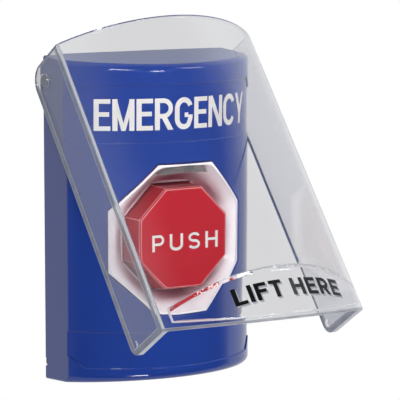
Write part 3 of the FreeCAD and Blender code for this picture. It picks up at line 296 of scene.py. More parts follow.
def moulded_plastic(name, colour, roughness, ripple_mm, ripple_height, edge_mm=0.3):
    """Glossy or satin plastic: even colour, slight mottle, soft edges, and a shallow ripple."""
    material, tree, out = new_material(name)
    place = add_node(tree, "ShaderNodeTexCoord")
    ripple = add_node(tree, "ShaderNodeTexNoise", Vector=(place, "Object"),
                      Scale=1000 / ripple_mm, Detail=2.0, Roughness=0.5)
    soft_edge = add_node(tree, "ShaderNodeBevel", {"samples": 4}, Radius=mm(edge_mm))
    bump = add_node(tree, "ShaderNodeBump", Strength=ripple_height, Distance=mm(RIPPLE_DEEP),
                    Height=ripple, Normal=soft_edge)
    cloud = add_node(tree, "ShaderNodeTexNoise", Vector=(place, "Object"),
                     Scale=1000 / CLOUD_MM, Detail=1.0)
    deeper = tuple(c * (1 - MOTTLE) for c in linear(colour)[:3]) + (1.0,)
    tint = add_node(tree, "ShaderNodeMix", COLOURS, Factor=cloud, _6=linear(colour), _7=deeper)
    plastic = add_node(tree, "ShaderNodeBsdfPrincipled", Base_Color=(tint, 2),
                       Roughness=roughness, IOR=PLASTIC_IOR, Normal=bump)
    tree.links.new(plastic.outputs[0], out.inputs[0])
    print(name, colour)
    return material


# %% [markdown]
# Nine finishes come from that one function. Each could have a tree of its own, but the
# trees would say the same thing nine times.

# %% The plastics of the station
# Housing: polycarbonate from a polished tool. A deep blue under a hard, clear gloss.
blue_polycarbonate = moulded_plastic("blue_polycarbonate", "#1d3a8b", roughness=0.08,
                                     ripple_mm=2.0, ripple_height=0.06)
# Surround: ABS from a polished tool. A clean white that takes the colour of what is near.
white_abs = moulded_plastic("white_abs", "#f7f2f6", roughness=0.10, ripple_mm=2.0,
                            ripple_height=0.04)
# Button: ABS coloured right through. A strong even red with softer, well rounded edges.
red_abs = moulded_plastic("red_abs", "#b21d29", roughness=0.10, ripple_mm=2.0,
                          ripple_height=0.04, edge_mm=0.5)
# Rod and follower: nylon from an eroded tool. A milky, waxy white with a dull sheen.
white_nylon = moulded_plastic("white_nylon", "#dedbd2", roughness=0.45, ripple_mm=0.8,
                              ripple_height=0.2)
# Contact block: nylon filled with glass fibre, which leaves the black a little grainy.
black_nylon = moulded_plastic("black_nylon", "#1c1c1e", roughness=0.42, ripple_mm=0.8,
                              ripple_height=0.2)
# Hinge pins: moulded acetal, dense and slippery. A smooth mid grey with a soft sheen.
grey_acetal = moulded_plastic("grey_acetal", "#8c8d90", roughness=0.38, ripple_mm=0.8,
                              ripple_height=0.15)
# Lamp board: glass cloth pressed in epoxy under green lacquer, which shows the weave faintly.
board_laminate = moulded_plastic("board_laminate", "#1f6b3c", roughness=0.35, ripple_mm=0.5,
                                 ripple_height=0.2)
# Lamps: epoxy cast in a mould, tinted by the phosphor under it. A pale, glossy yellow.
lamp_resin = moulded_plastic("lamp_resin", "#e8dfb4", roughness=0.2, ripple_mm=0.5,
                             ripple_height=0.1)
# Wall seal: foam rubber cut from sheet. Nearly black and quite dull, with fine open pores.
foam_rubber = moulded_plastic("foam_rubber", "#26262a", roughness=0.85, ripple_mm=0.6,
                              ripple_height=0.8)

# %% [markdown]
# Two finer effects belong to the surround and the button, and both are painted light. Light
# that reaches the narrow gap round the button has bounced off its red sides, so the white is
# deep pink there. Many bounces of light would give that by themselves, but slowly and with
# noise, so an Ambient Occlusion node finds the sheltered places and paints that shade and red
# bounce light into the surround's colour. And each corner of the button is moulded with a
# radius of about 0.35 mm, which catches a thin line of light. The Bevel node turns the normal
# near an edge, so where it no longer agrees with the face's own normal, there is an edge, and
# a painted highlight line goes into the button's colour.


# %% Painted red shade in the gap, painted light on the button's edges
CREVICE_DEEP = 0.3
CREVICE_OPEN = 0.68
EDGE_STARTS = 0.995
EDGE_FULL = 0.97


def recolour(material, mask, tone):
    """Lays a tone of painted light or shade over a plastic's colour where the mask is 1."""
    tree = material.node_tree
    plastic = next(n for n in tree.nodes if n.bl_idname == "ShaderNodeBsdfPrincipled")
    even = plastic.inputs["Base Color"].links[0].from_node
    mixed = add_node(tree, "ShaderNodeMix", COLOURS, Factor=mask, _6=(even, 2), _7=linear(tone))
    tree.links.new(mixed.outputs[2], plastic.inputs["Base Color"])


def add_painted_gap_shade(material, tint, reach_mm):
    """Paints shade, with the red of bounce light, where something close beside shelters it."""
    tree = material.node_tree
    shelter = add_node(tree, "ShaderNodeAmbientOcclusion", {"samples": 8}, Distance=mm(reach_mm))
    painted_shade_share = add_node(tree, "ShaderNodeMapRange", Value=(shelter, "AO"),
                      From_Min=CREVICE_DEEP, From_Max=CREVICE_OPEN, To_Min=1.0, To_Max=0.0)
    recolour(material, painted_shade_share, tint)


def add_painted_edge_highlight(material, tone, edge_mm, share):
    """Paints a highlight into the colour: the line of light along each sharp edge."""
    tree = material.node_tree
    rounded = add_node(tree, "ShaderNodeBevel", {"samples": 8}, Radius=mm(edge_mm))
    surface = add_node(tree, "ShaderNodeNewGeometry")
    agree = add_node(tree, "ShaderNodeVectorMath", {"operation": "DOT_PRODUCT"}, _0=rounded,
                     _1=(surface, "Normal"))
    line = add_node(tree, "ShaderNodeMapRange", Value=(agree, "Value"), From_Min=EDGE_STARTS,
                    From_Max=EDGE_FULL, To_Min=0.0, To_Max=share)
    recolour(material, line, tone)


# Painted shade: deep pink where the gap round the button is lit only by light off its red sides.
add_painted_gap_shade(white_abs, "#95465a", reach_mm=9.0)
# Painted highlight: a pale pink line along the button's moulded edges.
add_painted_edge_highlight(red_abs, "#ffd3d6", edge_mm=0.35, share=0.8)
print("surround and button have", len(white_abs.node_tree.nodes), "and",
      len(red_abs.node_tree.nodes), "nodes")

# %% [markdown]
# The metal pieces inside are pressed or turned, and rolling and drawing leave fine lines
# along the metal, which the eye sees as slight changes of gloss. The lines could be cut into
# the normals, but they are finer than a pixel here, so a stretched noise varies the
# roughness alone, and it is drawn coarser than the real lines so that it shows close up.


# %% Metals
LINE_STRETCH = 8.0
GLOSS_SPREAD = 0.2


def worked_metal(name, colour, roughness, line_mm):
    """Metal with fine working lines that vary its roughness."""
    material, tree, out = new_material(name)
    place = add_node(tree, "ShaderNodeTexCoord")
    stretch = add_node(tree, "ShaderNodeMapping", Vector=(place, "Object"),
                       Scale=(1.0, 1.0, LINE_STRETCH))
    lines = add_node(tree, "ShaderNodeTexNoise", Vector=stretch, Scale=1000 / line_mm, Detail=2.0)
    rough = add_node(tree, "ShaderNodeMapRange", Value=lines,
                     To_Min=roughness * (1 - GLOSS_SPREAD),
                     To_Max=roughness * (1 + GLOSS_SPREAD))
    metal = add_node(tree, "ShaderNodeBsdfPrincipled", Base_Color=linear(colour),
                     Metallic=1.0, Roughness=rough)
    tree.links.new(metal.outputs[0], out.inputs[0])
    print(name, colour)
    return material


# Plates, screws and clips: steel with a bright zinc plating, a cool light grey.
zinc_plated_steel = worked_metal("zinc_plated_steel", "#c9cbcf", roughness=0.32, line_mm=0.8)
# Return spring: wire drawn through a die, a little darker and smoother than plated sheet.
spring_wire = worked_metal("spring_wire", "#b9bbbf", roughness=0.25, line_mm=0.5)
# Terminals: pressed and turned brass, a warm yellow that dulls slightly in air.
terminal_brass = worked_metal("terminal_brass", "#cfa24e", roughness=0.3, line_mm=0.6)

# %% [markdown]
# The light pipe is clear acrylic and the cover clear polycarbonate, both moulded in polished
# tools, with faint flow marks, three in 50 mm. A thin see-through shader would be quicker,
# but it has no thickness. Their look comes from refraction and a trace of grey, so a wall
# looks a little darker than the white behind it. Two small aids keep it clean. Light
# from the lamps passes through as if the wall were only tinted, which a Light Path node does
# for shadow rays. And light that has been guided along inside the wall for several turns has
# mixed all that the wall sees, so there the wall glows with an emission of the studio's mean
# grey, which is painted light.


# %% Clear plastics
GUIDED_AFTER = 4.5
FLOW_MM = 50 / 3
FLOW_DEEP = 0.5
FLOW_HEIGHT = 0.04
ACRYLIC_IOR = 1.49
POLYCARBONATE_IOR = 1.586
COVER_TINT = "#f3f3f4"


def clear_plastic(name, colour, roughness, ior, guided_light_grey, edge_mm, clearness=1.0):
    """Clear moulded plastic. Returns its material, tree, last shader and output node."""
    material, tree, out = new_material(name)
    place = add_node(tree, "ShaderNodeTexCoord")
    flow = add_node(tree, "ShaderNodeTexNoise", Vector=(place, "Object"),
                    Scale=1000 / FLOW_MM, Detail=1.0)
    soft_edge = add_node(tree, "ShaderNodeBevel", {"samples": 4}, Radius=mm(edge_mm))
    bump = add_node(tree, "ShaderNodeBump", Strength=FLOW_HEIGHT, Distance=mm(FLOW_DEEP),
                    Height=flow, Normal=soft_edge)
    clear = add_node(tree, "ShaderNodeBsdfPrincipled", Base_Color=linear(colour),
                     Roughness=roughness, IOR=ior, Transmission_Weight=clearness,
                     Normal=bump)
    path = add_node(tree, "ShaderNodeLightPath")
    # Painted light: after several turns inside the wall the ray ends in an emission of this grey.
    guided = add_node(tree, "ShaderNodeEmission", Color=linear(guided_light_grey), Strength=1.0)
    deep = add_node(tree, "ShaderNodeMath", {"operation": "GREATER_THAN"},
                    _0=(path, "Ray Depth"), _1=GUIDED_AFTER)
    body = add_node(tree, "ShaderNodeMixShader", _0=deep, _1=clear, _2=guided)
    open_way = add_node(tree, "ShaderNodeBsdfTransparent", Color=linear("#f4f4f4"))
    shader = add_node(tree, "ShaderNodeMixShader", _0=(path, "Is Shadow Ray"), _1=body, _2=open_way)
    tree.links.new(shader.outputs[0], out.inputs[0])
    print(name, colour, "with an IOR of", ior)
    return material, tree, shader, out


# Light pipe: acrylic that is frosted a little at its end, so it shows grey while unlit.
pipe_acrylic = clear_plastic("pipe_acrylic", "#aea8aa", roughness=0.10, ior=ACRYLIC_IOR,
                             guided_light_grey="#8c8886", edge_mm=0.3, clearness=0.75)[0]
# Cover: polycarbonate, water clear and quite smooth, with bright mirroring.
clear_polycarbonate, cover_tree, cover_shader, cover_out = clear_plastic(
    "clear_polycarbonate", COVER_TINT, roughness=0.0, ior=POLYCARBONATE_IOR,
    guided_light_grey="#c0c2c6", edge_mm=0.4)

# %% [markdown]
# A clear cover shows the thickness of its walls as grey bands along its edges, because the
# eye looks into the end of a wall there. Refraction gives such bands only in part, since real
# edges are full of small facets that a solid doesn't have. So the material paints them as
# painted light, from how far a point lies inside each edge. A painted mask would need a
# laid-out map of the cover, while here each edge is a straight line in the cover's side view,
# given by the way it faces and one point that it passes through. That view is drawn in the
# cover's own frame, with y up the cover, z out of it and the origin on the hinge line.

# %% The cover's own frame and its edges
HINGE_PLACE = mm(0, -7.5, 53.8)
OPEN_ANGLE = math.radians(38.5)
COVER_HALF = 43.9
COVER_WALL = 2.0
COVER_REACH = 17.3
COVER_BULGE = 20.0
COVER_DROP = 120.5
EAR_RADIUS = 7.0
HEEL_RADIUS = 5.0
HEEL_RISE = 1.8
CHIN_FALL = 10.4
RIDGE_INSET = 0.45
TOP_LEAN = math.radians(6.3)
HEEL_LEAN = math.atan(HEEL_RISE / (COVER_REACH + EAR_RADIUS - HEEL_RADIUS))
CHIN_LEAN = math.atan(CHIN_FALL / COVER_BULGE)

cover_up = Vector((0, math.sin(OPEN_ANGLE), math.cos(OPEN_ANGLE)))
cover_face = Vector((0, -math.cos(OPEN_ANGLE), math.sin(OPEN_ANGLE)))
place = add_node(cover_tree, "ShaderNodeTexCoord")
from_hinge = add_node(cover_tree, "ShaderNodeVectorMath", SUBTRACT,
                      _0=(place, "Object"), _1=HINGE_PLACE)


def depth_inside(way, reach_mm):
    """How deep a point lies inside a plane of the cover, in mm."""
    along = add_node(cover_tree, "ShaderNodeVectorMath", {"operation": "DOT_PRODUCT"},
                     _0=from_hinge, _1=way * 1000)
    return add_node(cover_tree, "ShaderNodeMath", SUBTRACT, _0=reach_mm, _1=(along, "Value"))


def side_view_edge(up, out, through):
    """The depth inside an edge of the side view, by the way it faces and a point on it."""
    return depth_inside(cover_up * up + cover_face * out, up * through[0] + out * through[1])


foot = (-COVER_DROP, COVER_REACH)
rear = side_view_edge(0, -1, (0, -EAR_RADIUS))
heel = side_view_edge(-math.cos(HEEL_LEAN), -math.sin(HEEL_LEAN), foot)
chin = side_view_edge(-math.cos(CHIN_LEAN), -math.sin(CHIN_LEAN), foot)
top = side_view_edge(math.cos(TOP_LEAN), math.sin(TOP_LEAN), (EAR_RADIUS, 0))
ridge = side_view_edge(0, 1, (0, COVER_REACH - RIDGE_INSET))
left_flank = depth_inside(Vector((-1, 0, 0)), COVER_HALF)
right_flank = depth_inside(Vector((1, 0, 0)), COVER_HALF)
flank = add_node(cover_tree, "ShaderNodeMath", MINIMUM, _0=left_flank, _1=right_flank)
print("heel and chin slope by", round(math.degrees(HEEL_LEAN), 1), "and",
      round(math.degrees(CHIN_LEAN), 1), "degrees")

# %% [markdown]
# The bands differ between the side walls and the front wall, so the material first asks which
# wall a point is on. Separate materials on the faces could say that too, but a wall's end
# belongs to both. A band is also what the eye sees straight through the outer face, so a
# Light Path node leaves it off a wall that is itself seen through another wall.

# %% Which wall a point is on, and how it is seen
SLACK = 0.05

on_front = add_node(cover_tree, "ShaderNodeMath", LESS_THAN, _0=ridge, _1=0.0)
off_front = add_node(cover_tree, "ShaderNodeMath", SUBTRACT, _0=1.0, _1=on_front)
in_flank = add_node(cover_tree, "ShaderNodeMath", LESS_THAN, _0=flank, _1=COVER_WALL + SLACK)
off_flank = add_node(cover_tree, "ShaderNodeMath", SUBTRACT, _0=1.0, _1=in_flank)
on_side = add_node(cover_tree, "ShaderNodeMath", MULTIPLY, _0=off_front, _1=in_flank)
sight = add_node(cover_tree, "ShaderNodeLightPath")
# The camera's own rays have a depth of 0.
seen_straight = add_node(cover_tree, "ShaderNodeMath", LESS_THAN, _0=(sight, "Ray Depth"), _1=0.5)
seen_through = add_node(cover_tree, "ShaderNodeMath", SUBTRACT, _0=1.0, _1=seen_straight)
print("cover nodes so far:", len(cover_tree.nodes))

# %% [markdown]
# On a side wall the bands follow the rear edge, the heel, the top and the ridge where it
# meets the front wall, and on the front wall there is one along the chin. Each has its own
# width. A band is light at its borders, where the cut or moulded corner glints, and grey
# between them, with streaks about 6 mm long, as the facets inside an edge gather light. One
# flat grey would look like tape, so a colour ramp runs across the band.


# %% Painted light: grey bands where a wall is seen end on
BAND_WIDE = 2.8
SIDE_BANDS = [(rear, BAND_WIDE), (heel, BAND_WIDE), (ridge, BAND_WIDE / 1.2),
              (top, BAND_WIDE / 2.5)]
CHIN_BAND = BAND_WIDE / 2.4
# The band's tones are painted light: pale glints at its borders, the grey seen into the wall
# between.
BAND_LIGHT_TONES = [(0.0, "#d5d9de"), (0.14, "#7b7e84"), (0.8, "#8a8d93"), (0.9, "#c3c8ce")]
STREAK_MM = 6.0
STREAK_GLINT_TONE = "#b4b8be"
STREAK_STARTS = 0.35
STREAK_FULL = 0.7
STREAK_COVERS = 0.5
BAND_COVERS = 0.74


def nearest_edge(edges):
    """The depth inside the nearest of several edges, as a share of that edge's width in mm."""
    nearest = None
    for depth, wide in edges:
        share = add_node(cover_tree, "ShaderNodeMath", {"operation": "DIVIDE"}, _0=depth, _1=wide)
        if nearest is not None:
            share = add_node(cover_tree, "ShaderNodeMath", MINIMUM, _0=nearest, _1=share)
        nearest = share
    return nearest


side_share = add_node(cover_tree, "ShaderNodeMath", {"operation": "ADD"},
                      _0=nearest_edge(SIDE_BANDS), _1=off_flank)
band_share = add_node(cover_tree, "ShaderNodeMix", {"data_type": "FLOAT"}, _0=on_front,
                      _2=side_share, _3=nearest_edge([(chin, CHIN_BAND)]))
in_band = add_node(cover_tree, "ShaderNodeMath", LESS_THAN, _0=band_share, _1=1.0)
for factor in (seen_straight, BAND_COVERS):
    in_band = add_node(cover_tree, "ShaderNodeMath", MULTIPLY, _0=in_band, _1=factor)
shine = add_node(cover_tree, "ShaderNodeValToRGB", Fac=band_share)
while len(shine.color_ramp.elements) < len(BAND_LIGHT_TONES):
    shine.color_ramp.elements.new(0.5)
for stop, (where, tone) in zip(shine.color_ramp.elements, BAND_LIGHT_TONES):
    stop.position = where
    stop.color = linear(tone)
# Painted highlight: pale streaks where the facets inside an edge gather light.
streaks = add_node(cover_tree, "ShaderNodeTexNoise", Vector=(place, "Object"),
                   Scale=1000 / STREAK_MM, Detail=3.0)
streak_glint_share = add_node(cover_tree, "ShaderNodeMapRange", Value=streaks, From_Min=STREAK_STARTS,
                  From_Max=STREAK_FULL, To_Min=0.0, To_Max=STREAK_COVERS)
band_colour = add_node(cover_tree, "ShaderNodeMix", COLOURS, Factor=streak_glint_share,
                       _6=shine, _7=linear(STREAK_GLINT_TONE))
painted_edge_light = add_node(cover_tree, "ShaderNodeBsdfPrincipled", Base_Color=(band_colour, 2),
                    Roughness=0.2, IOR=POLYCARBONATE_IOR)
print("bands:", len(SIDE_BANDS), "on each side wall and one along the chin")

# %% [markdown]
# The rest of a side wall gets a thin dark veil of painted reflection and shade, because the
# eye looks along that wall, and so through more of it, and it mirrors the housing's side.
# Seen through another wall, the rear edge is only a thin line of the housing's blue, as far
# down as the housing stands behind it, painted in as a reflection. Both could be left to the
# ray tracer, which would need far more bounces to find them. The layers are stacked with mix
# shaders, the way clear paint is: veil, band, blue line.

# %% Painted reflections: veil and blue line, and the layers put together
VEIL_AND_REFLECTION_TONE = "#2f3d5c"
VEIL_COVERS = 0.3
MIRRORED_BLUE_TONE = "#1f3c72"
BLUE_EDGE_WIDE = 0.5
BLUE_EDGE_ENDS = 33.0

veil_share = on_side
for factor in (seen_straight, VEIL_COVERS):
    veil_share = add_node(cover_tree, "ShaderNodeMath", MULTIPLY, _0=veil_share, _1=factor)
# Painted reflection of the housing's side, and the darkening of a longer way through the plastic.
side_veil_and_reflection = add_node(cover_tree, "ShaderNodeBsdfPrincipled", Base_Color=linear(VEIL_AND_REFLECTION_TONE),
                Roughness=0.3, IOR=POLYCARBONATE_IOR)
at_rear = add_node(cover_tree, "ShaderNodeMath", LESS_THAN, _0=rear, _1=BLUE_EDGE_WIDE)
above_lip = add_node(cover_tree, "ShaderNodeMath", {"operation": "GREATER_THAN"}, _0=heel,
                     _1=BLUE_EDGE_ENDS)
blue_share = at_rear
for condition in (seen_through, above_lip, on_side):
    blue_share = add_node(cover_tree, "ShaderNodeMath", MULTIPLY, _0=blue_share, _1=condition)
# Painted reflection: the housing's blue seen in the rear edge through another wall.
mirrored_blue = add_node(cover_tree, "ShaderNodeBsdfPrincipled", Roughness=0.3,
                         Base_Color=linear(MIRRORED_BLUE_TONE))
wall = cover_shader
for covered, layer in ((veil_share, side_veil_and_reflection), (in_band, painted_edge_light), (blue_share, mirrored_blue)):
    wall = add_node(cover_tree, "ShaderNodeMixShader", _0=covered, _1=wall, _2=layer)
print("cover nodes so far:", len(cover_tree.nodes))

# %% [markdown]
# The raised lip has a rounded rim all round. Seen from the front the rim works as a narrow
# lens: its top edge bends the view upwards, so it shows the red of the button over the white
# surround, and a fine bright line runs along its border. A rim modelled with that curve
# would need many small faces, so the material only works out where the rim and its line
# are, from the lip's edges in the side view.

# %% The lip's rim
LIP_MARGIN = 2.9
LIP_TOP_SIDE = 6.6
LIP_TOP_MIDDLE = 10.9
LIP_LOW_SIDE = 3.5
LIP_LOW_MIDDLE = -8.5
LIP_TOP_LEAN = math.atan((LIP_TOP_MIDDLE - LIP_TOP_SIDE) / COVER_BULGE)
LIP_LOW_LEAN = math.atan((LIP_LOW_SIDE - LIP_LOW_MIDDLE) / COVER_BULGE)
RIM_WIDE = 1.9
RIM_LINE = 0.32
LOW_LINE = RIM_LINE / 0.6
RIM_GLINT_TONE = "#eef1f6"
LINE_COVERS = 0.7

lip_top = side_view_edge(math.cos(LIP_TOP_LEAN), -math.sin(LIP_TOP_LEAN),
                         (LIP_TOP_SIDE - COVER_DROP, COVER_REACH))
lip_low = side_view_edge(-math.cos(LIP_LOW_LEAN), -math.sin(LIP_LOW_LEAN),
                         (LIP_LOW_SIDE - COVER_DROP, COVER_REACH))
lip_side = add_node(cover_tree, "ShaderNodeMath", SUBTRACT, _0=flank, _1=LIP_MARGIN)
lip_depth = lip_side
for edge in (lip_top, lip_low):
    lip_depth = add_node(cover_tree, "ShaderNodeMath", MINIMUM, _0=lip_depth, _1=edge)
on_lip = add_node(cover_tree, "ShaderNodeMath", {"operation": "GREATER_THAN"}, _0=lip_depth,
                  _1=-SLACK)
for condition in (on_front, seen_straight):
    on_lip = add_node(cover_tree, "ShaderNodeMath", MULTIPLY, _0=on_lip, _1=condition)
line_share = nearest_edge([(lip_top, RIM_LINE), (lip_side, RIM_LINE), (lip_low, LOW_LINE)])
on_line = add_node(cover_tree, "ShaderNodeMath", LESS_THAN, _0=line_share, _1=1.0)
for factor in (on_lip, LINE_COVERS):
    on_line = add_node(cover_tree, "ShaderNodeMath", MULTIPLY, _0=on_line, _1=factor)
under_top = add_node(cover_tree, "ShaderNodeMath", LESS_THAN, _0=lip_top, _1=RIM_WIDE)
under_top = add_node(cover_tree, "ShaderNodeMath", MULTIPLY, _0=under_top, _1=on_lip)
# Painted highlight: the fine bright line along the lip's rim.
rim_glint = add_node(cover_tree, "ShaderNodeBsdfPrincipled", Base_Color=linear(RIM_GLINT_TONE),
                     Roughness=0.15, IOR=POLYCARBONATE_IOR)
print("lip edges slope by", round(math.degrees(LIP_TOP_LEAN), 1), "and",
      round(math.degrees(LIP_LOW_LEAN), 1), "degrees")

# %% [markdown]
# The lens is the cover's own plastic again, with its normal swung down the cover, unevenly
# over about 3 mm, as a moulded rim is. It could be a tilted strip of mesh, but that would
# be one more piece to fit to the lip, and the material already knows where the rim is.

# %% The lens along the lip's top, and the finished cover
RIM_TILT = 0.3
TILT_LEAST = 0.2
TILT_MOST = 1.6
SPARKLE_MM = 3.0
SPARKLE_STARTS = 0.35
SPARKLE_FULL = 0.6

facing = add_node(cover_tree, "ShaderNodeNewGeometry")
sparkle = add_node(cover_tree, "ShaderNodeTexNoise", Vector=(place, "Object"),
                   Scale=1000 / SPARKLE_MM, Detail=2.0)
uneven = add_node(cover_tree, "ShaderNodeMapRange", Value=sparkle, From_Min=SPARKLE_STARTS,
                  From_Max=SPARKLE_FULL, To_Min=RIM_TILT * TILT_LEAST,
                  To_Max=RIM_TILT * TILT_MOST)
swing = add_node(cover_tree, "ShaderNodeVectorMath", {"operation": "SCALE"}, _0=cover_up,
                 Scale=uneven)
tilted = add_node(cover_tree, "ShaderNodeVectorMath", SUBTRACT, _0=(facing, "Normal"), _1=swing)
lens_way = add_node(cover_tree, "ShaderNodeVectorMath", {"operation": "NORMALIZE"}, _0=tilted)
lens = add_node(cover_tree, "ShaderNodeBsdfPrincipled", Base_Color=linear(COVER_TINT),
                Roughness=0.0, IOR=POLYCARBONATE_IOR, Transmission_Weight=1.0,
                Normal=lens_way)
for covered, layer in ((under_top, lens), (on_line, rim_glint)):
    wall = add_node(cover_tree, "ShaderNodeMixShader", _0=covered, _1=wall, _2=layer)
cover_tree.links.new(wall.outputs[0], cover_out.inputs[0])
print("cover nodes:", len(cover_tree.nodes))

# %% [markdown]
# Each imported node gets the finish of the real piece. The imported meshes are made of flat
# faces, and more of them would make arcs rounder but slower. Smooth shading up to a sharp
# angle does as well: arcs look round and edges stay crisp.

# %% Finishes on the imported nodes
# The screws and clips aren't named here. They get zinc plated steel, like the plates.
FINISHES = {
    "wall_seal": foam_rubber,
    "mounting_plate": zinc_plated_steel,
    "front_housing": blue_polycarbonate,
    "button_surround": white_abs,
    "push_button": red_abs,
    "button_rod": white_nylon,
    "contact_follower": white_nylon,
    "return_spring": spring_wire,
    "contact_carrier": zinc_plated_steel,
    "contact_block": black_nylon,
    "light_pipe": pipe_acrylic,
    "lift_cover": clear_polycarbonate,
    "terminal_clamps": terminal_brass,
    "terminal_screws": terminal_brass,
    "lamp_board": board_laminate,
    "board_lamps": lamp_resin,
    "hinge_pin_left": grey_acetal,
    "hinge_pin_right": grey_acetal,
}


def shade_by_angle(obj, degrees):
    """Smooth shading that keeps every edge sharper than the angle."""
    mesh = obj.data
    mesh.polygons.foreach_set("use_smooth", [True] * len(mesh.polygons))
    mesh.set_sharp_from_angle(angle=math.radians(degrees))


for name, node in nodes.items():
    node.data.materials.clear()
    node.data.materials.append(FINISHES.get(name, zinc_plated_steel))
    shade_by_angle(node, degrees=25)
    print(f"{name:18s} vertices {len(node.data.vertices):6d}")

# %% [markdown]
# The return spring has to shorten when the button goes in, and a rigid solid can't. So the
# scene winds a coil of its own, of the same wire, radius and turns, from the imported spring's
# box. A curve with a round bevel could make it too, but a mesh can be squashed point by
# point. A point walks up the helix, and at each step a ring of points is set round it, square
# to the way it walks.

# %% Return spring: its helix
SPRING_WIRE = 1.2
SPRING_TURNS = 6.5
STEPS_A_TURN = 32
WIRE_SIDES = 10

spring_low, spring_high = (Vector(corner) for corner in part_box("return_spring"))
spring_centre = (spring_low + spring_high) / 2
spring_length = spring_high.y - spring_low.y
wire_radius = mm(SPRING_WIRE) / 2
coil_radius = (spring_high.x - spring_low.x) / 2 - wire_radius
climb = spring_length - 2 * wire_radius
steps = round(SPRING_TURNS * STEPS_A_TURN)


def on_helix(step):
    """A point of the coil's middle line and the way outwards from the spring's axis."""
    turn = 2 * math.pi * step / STEPS_A_TURN
    outwards = Vector((math.cos(turn), 0, math.sin(turn)))
    y = spring_high.y - wire_radius - climb * step / steps
    return Vector((spring_centre.x, y, spring_centre.z)) + outwards * coil_radius, outwards


print("spring", round(spring_length * 1000, 2), "mm long in", steps, "steps")

# %% [markdown]
# The wire's skin is a grid of faces between one ring and the next, with a flat cap at each
# end, as the wire is cut.

# %% Return spring: its wire
vertices = []
for step in range(steps + 1):
    point, outwards = on_helix(step)
    along = (on_helix(step + 0.5)[0] - on_helix(step - 0.5)[0]).normalized()
    square = along.cross(outwards)
    for side in range(WIRE_SIDES):
        angle = 2 * math.pi * side / WIRE_SIDES
        vertices.append(point + (outwards * math.cos(angle) + square * math.sin(angle))
                        * wire_radius)
faces = [tuple(reversed(range(WIRE_SIDES))),
         tuple(range(steps * WIRE_SIDES, (steps + 1) * WIRE_SIDES))]
for step in range(steps):
    for side in range(WIRE_SIDES):
        a = step * WIRE_SIDES + side
        b = step * WIRE_SIDES + (side + 1) % WIRE_SIDES
        faces.append((a, b, b + WIRE_SIDES, a + WIRE_SIDES))

spring_coil = add_mesh("spring_coil", vertices, faces, spring_wire)
shade_by_angle(spring_coil, degrees=40)
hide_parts("return_spring")
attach(spring_coil, "station")
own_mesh(spring_coil)
print("spring faces:", len(faces))

# %% [markdown]
# Three plain words are printed on the station: EMERGENCY in the upper field, PUSH on the
# button and LIFT HERE on the cover's lip. Printed words are thin ink films. A text object
# would need a typeface and makes long thin triangles that can't follow a curved surface, so
# each letter is a flat mesh of bars. A bar is a row of point pairs, one pair for each cut
# across it, close enough together that the film can bend with what it lies on.


# %% Bars that letters are made of
STEP = 0.6


def level_bar(x0, x1, y, thick):
    """A level bar with upright ends."""
    count = max(1, math.ceil((x1 - x0) / STEP))
    return [(Vector((x0 + (x1 - x0) * i / count, y + thick / 2)),
             Vector((x0 + (x1 - x0) * i / count, y - thick / 2))) for i in range(count + 1)]


def upright_bar(x0, x1, y0, y1, thick):
    """An upright or slanting bar with level ends, from (x0, y0) up to (x1, y1)."""
    count = max(1, math.ceil((y1 - y0) / STEP))
    middles = [Vector((x0 + (x1 - x0) * i / count, y0 + (y1 - y0) * i / count))
               for i in range(count + 1)]
    return [(m - Vector((thick / 2, 0)), m + Vector((thick / 2, 0))) for m in middles]


def bent_bar(points, thick):
    """A bar of even thickness along a bent line."""
    path = [Vector(p) for p in points]
    ways = [(b - a).normalized() for a, b in zip(path, path[1:])]
    ways = [ways[0]] + [(a + b).normalized() for a, b in zip(ways, ways[1:])] + [ways[-1]]
    return [(p + Vector((-w.y, w.x)) * thick / 2, p - Vector((-w.y, w.x)) * thick / 2)
            for p, w in zip(path, ways)]


def bend(cx, cy, rx, ry, start, end, count=18):
    """Points along part of an ellipse, from one angle in degrees to another."""
    turns = [math.radians(start + (end - start) * i / count) for i in range(count + 1)]
    return [(cx + rx * math.cos(a), cy + ry * math.sin(a)) for a in turns]


print("a stem 12 mm tall has", len(upright_bar(0, 0, 0, 12, 2)), "cuts across it")

# %% [markdown]
# The letters are the plainest there are: upright stems, level arms and round bowls of one
# thickness. Width, height and thickness are the only settings, so one alphabet serves a bold
# narrow word and a light wide one. Three sets of outlines would take more lines and fit no
# better.


# %% Letters
# Arms are a little thinner than stems and slants a little thicker, or they would look uneven.
ARM_TO_STEM = 0.88
SLANT_TO_STEM = 1.12
# How high the waist, the foot of a bowl and the curve of a cup lie, as shares of the height.
# A ratio that only one letter has stands in that letter's own line.
WAIST = 0.52
BOWL_FOOT = 0.44
CUP_CURVE = 0.27


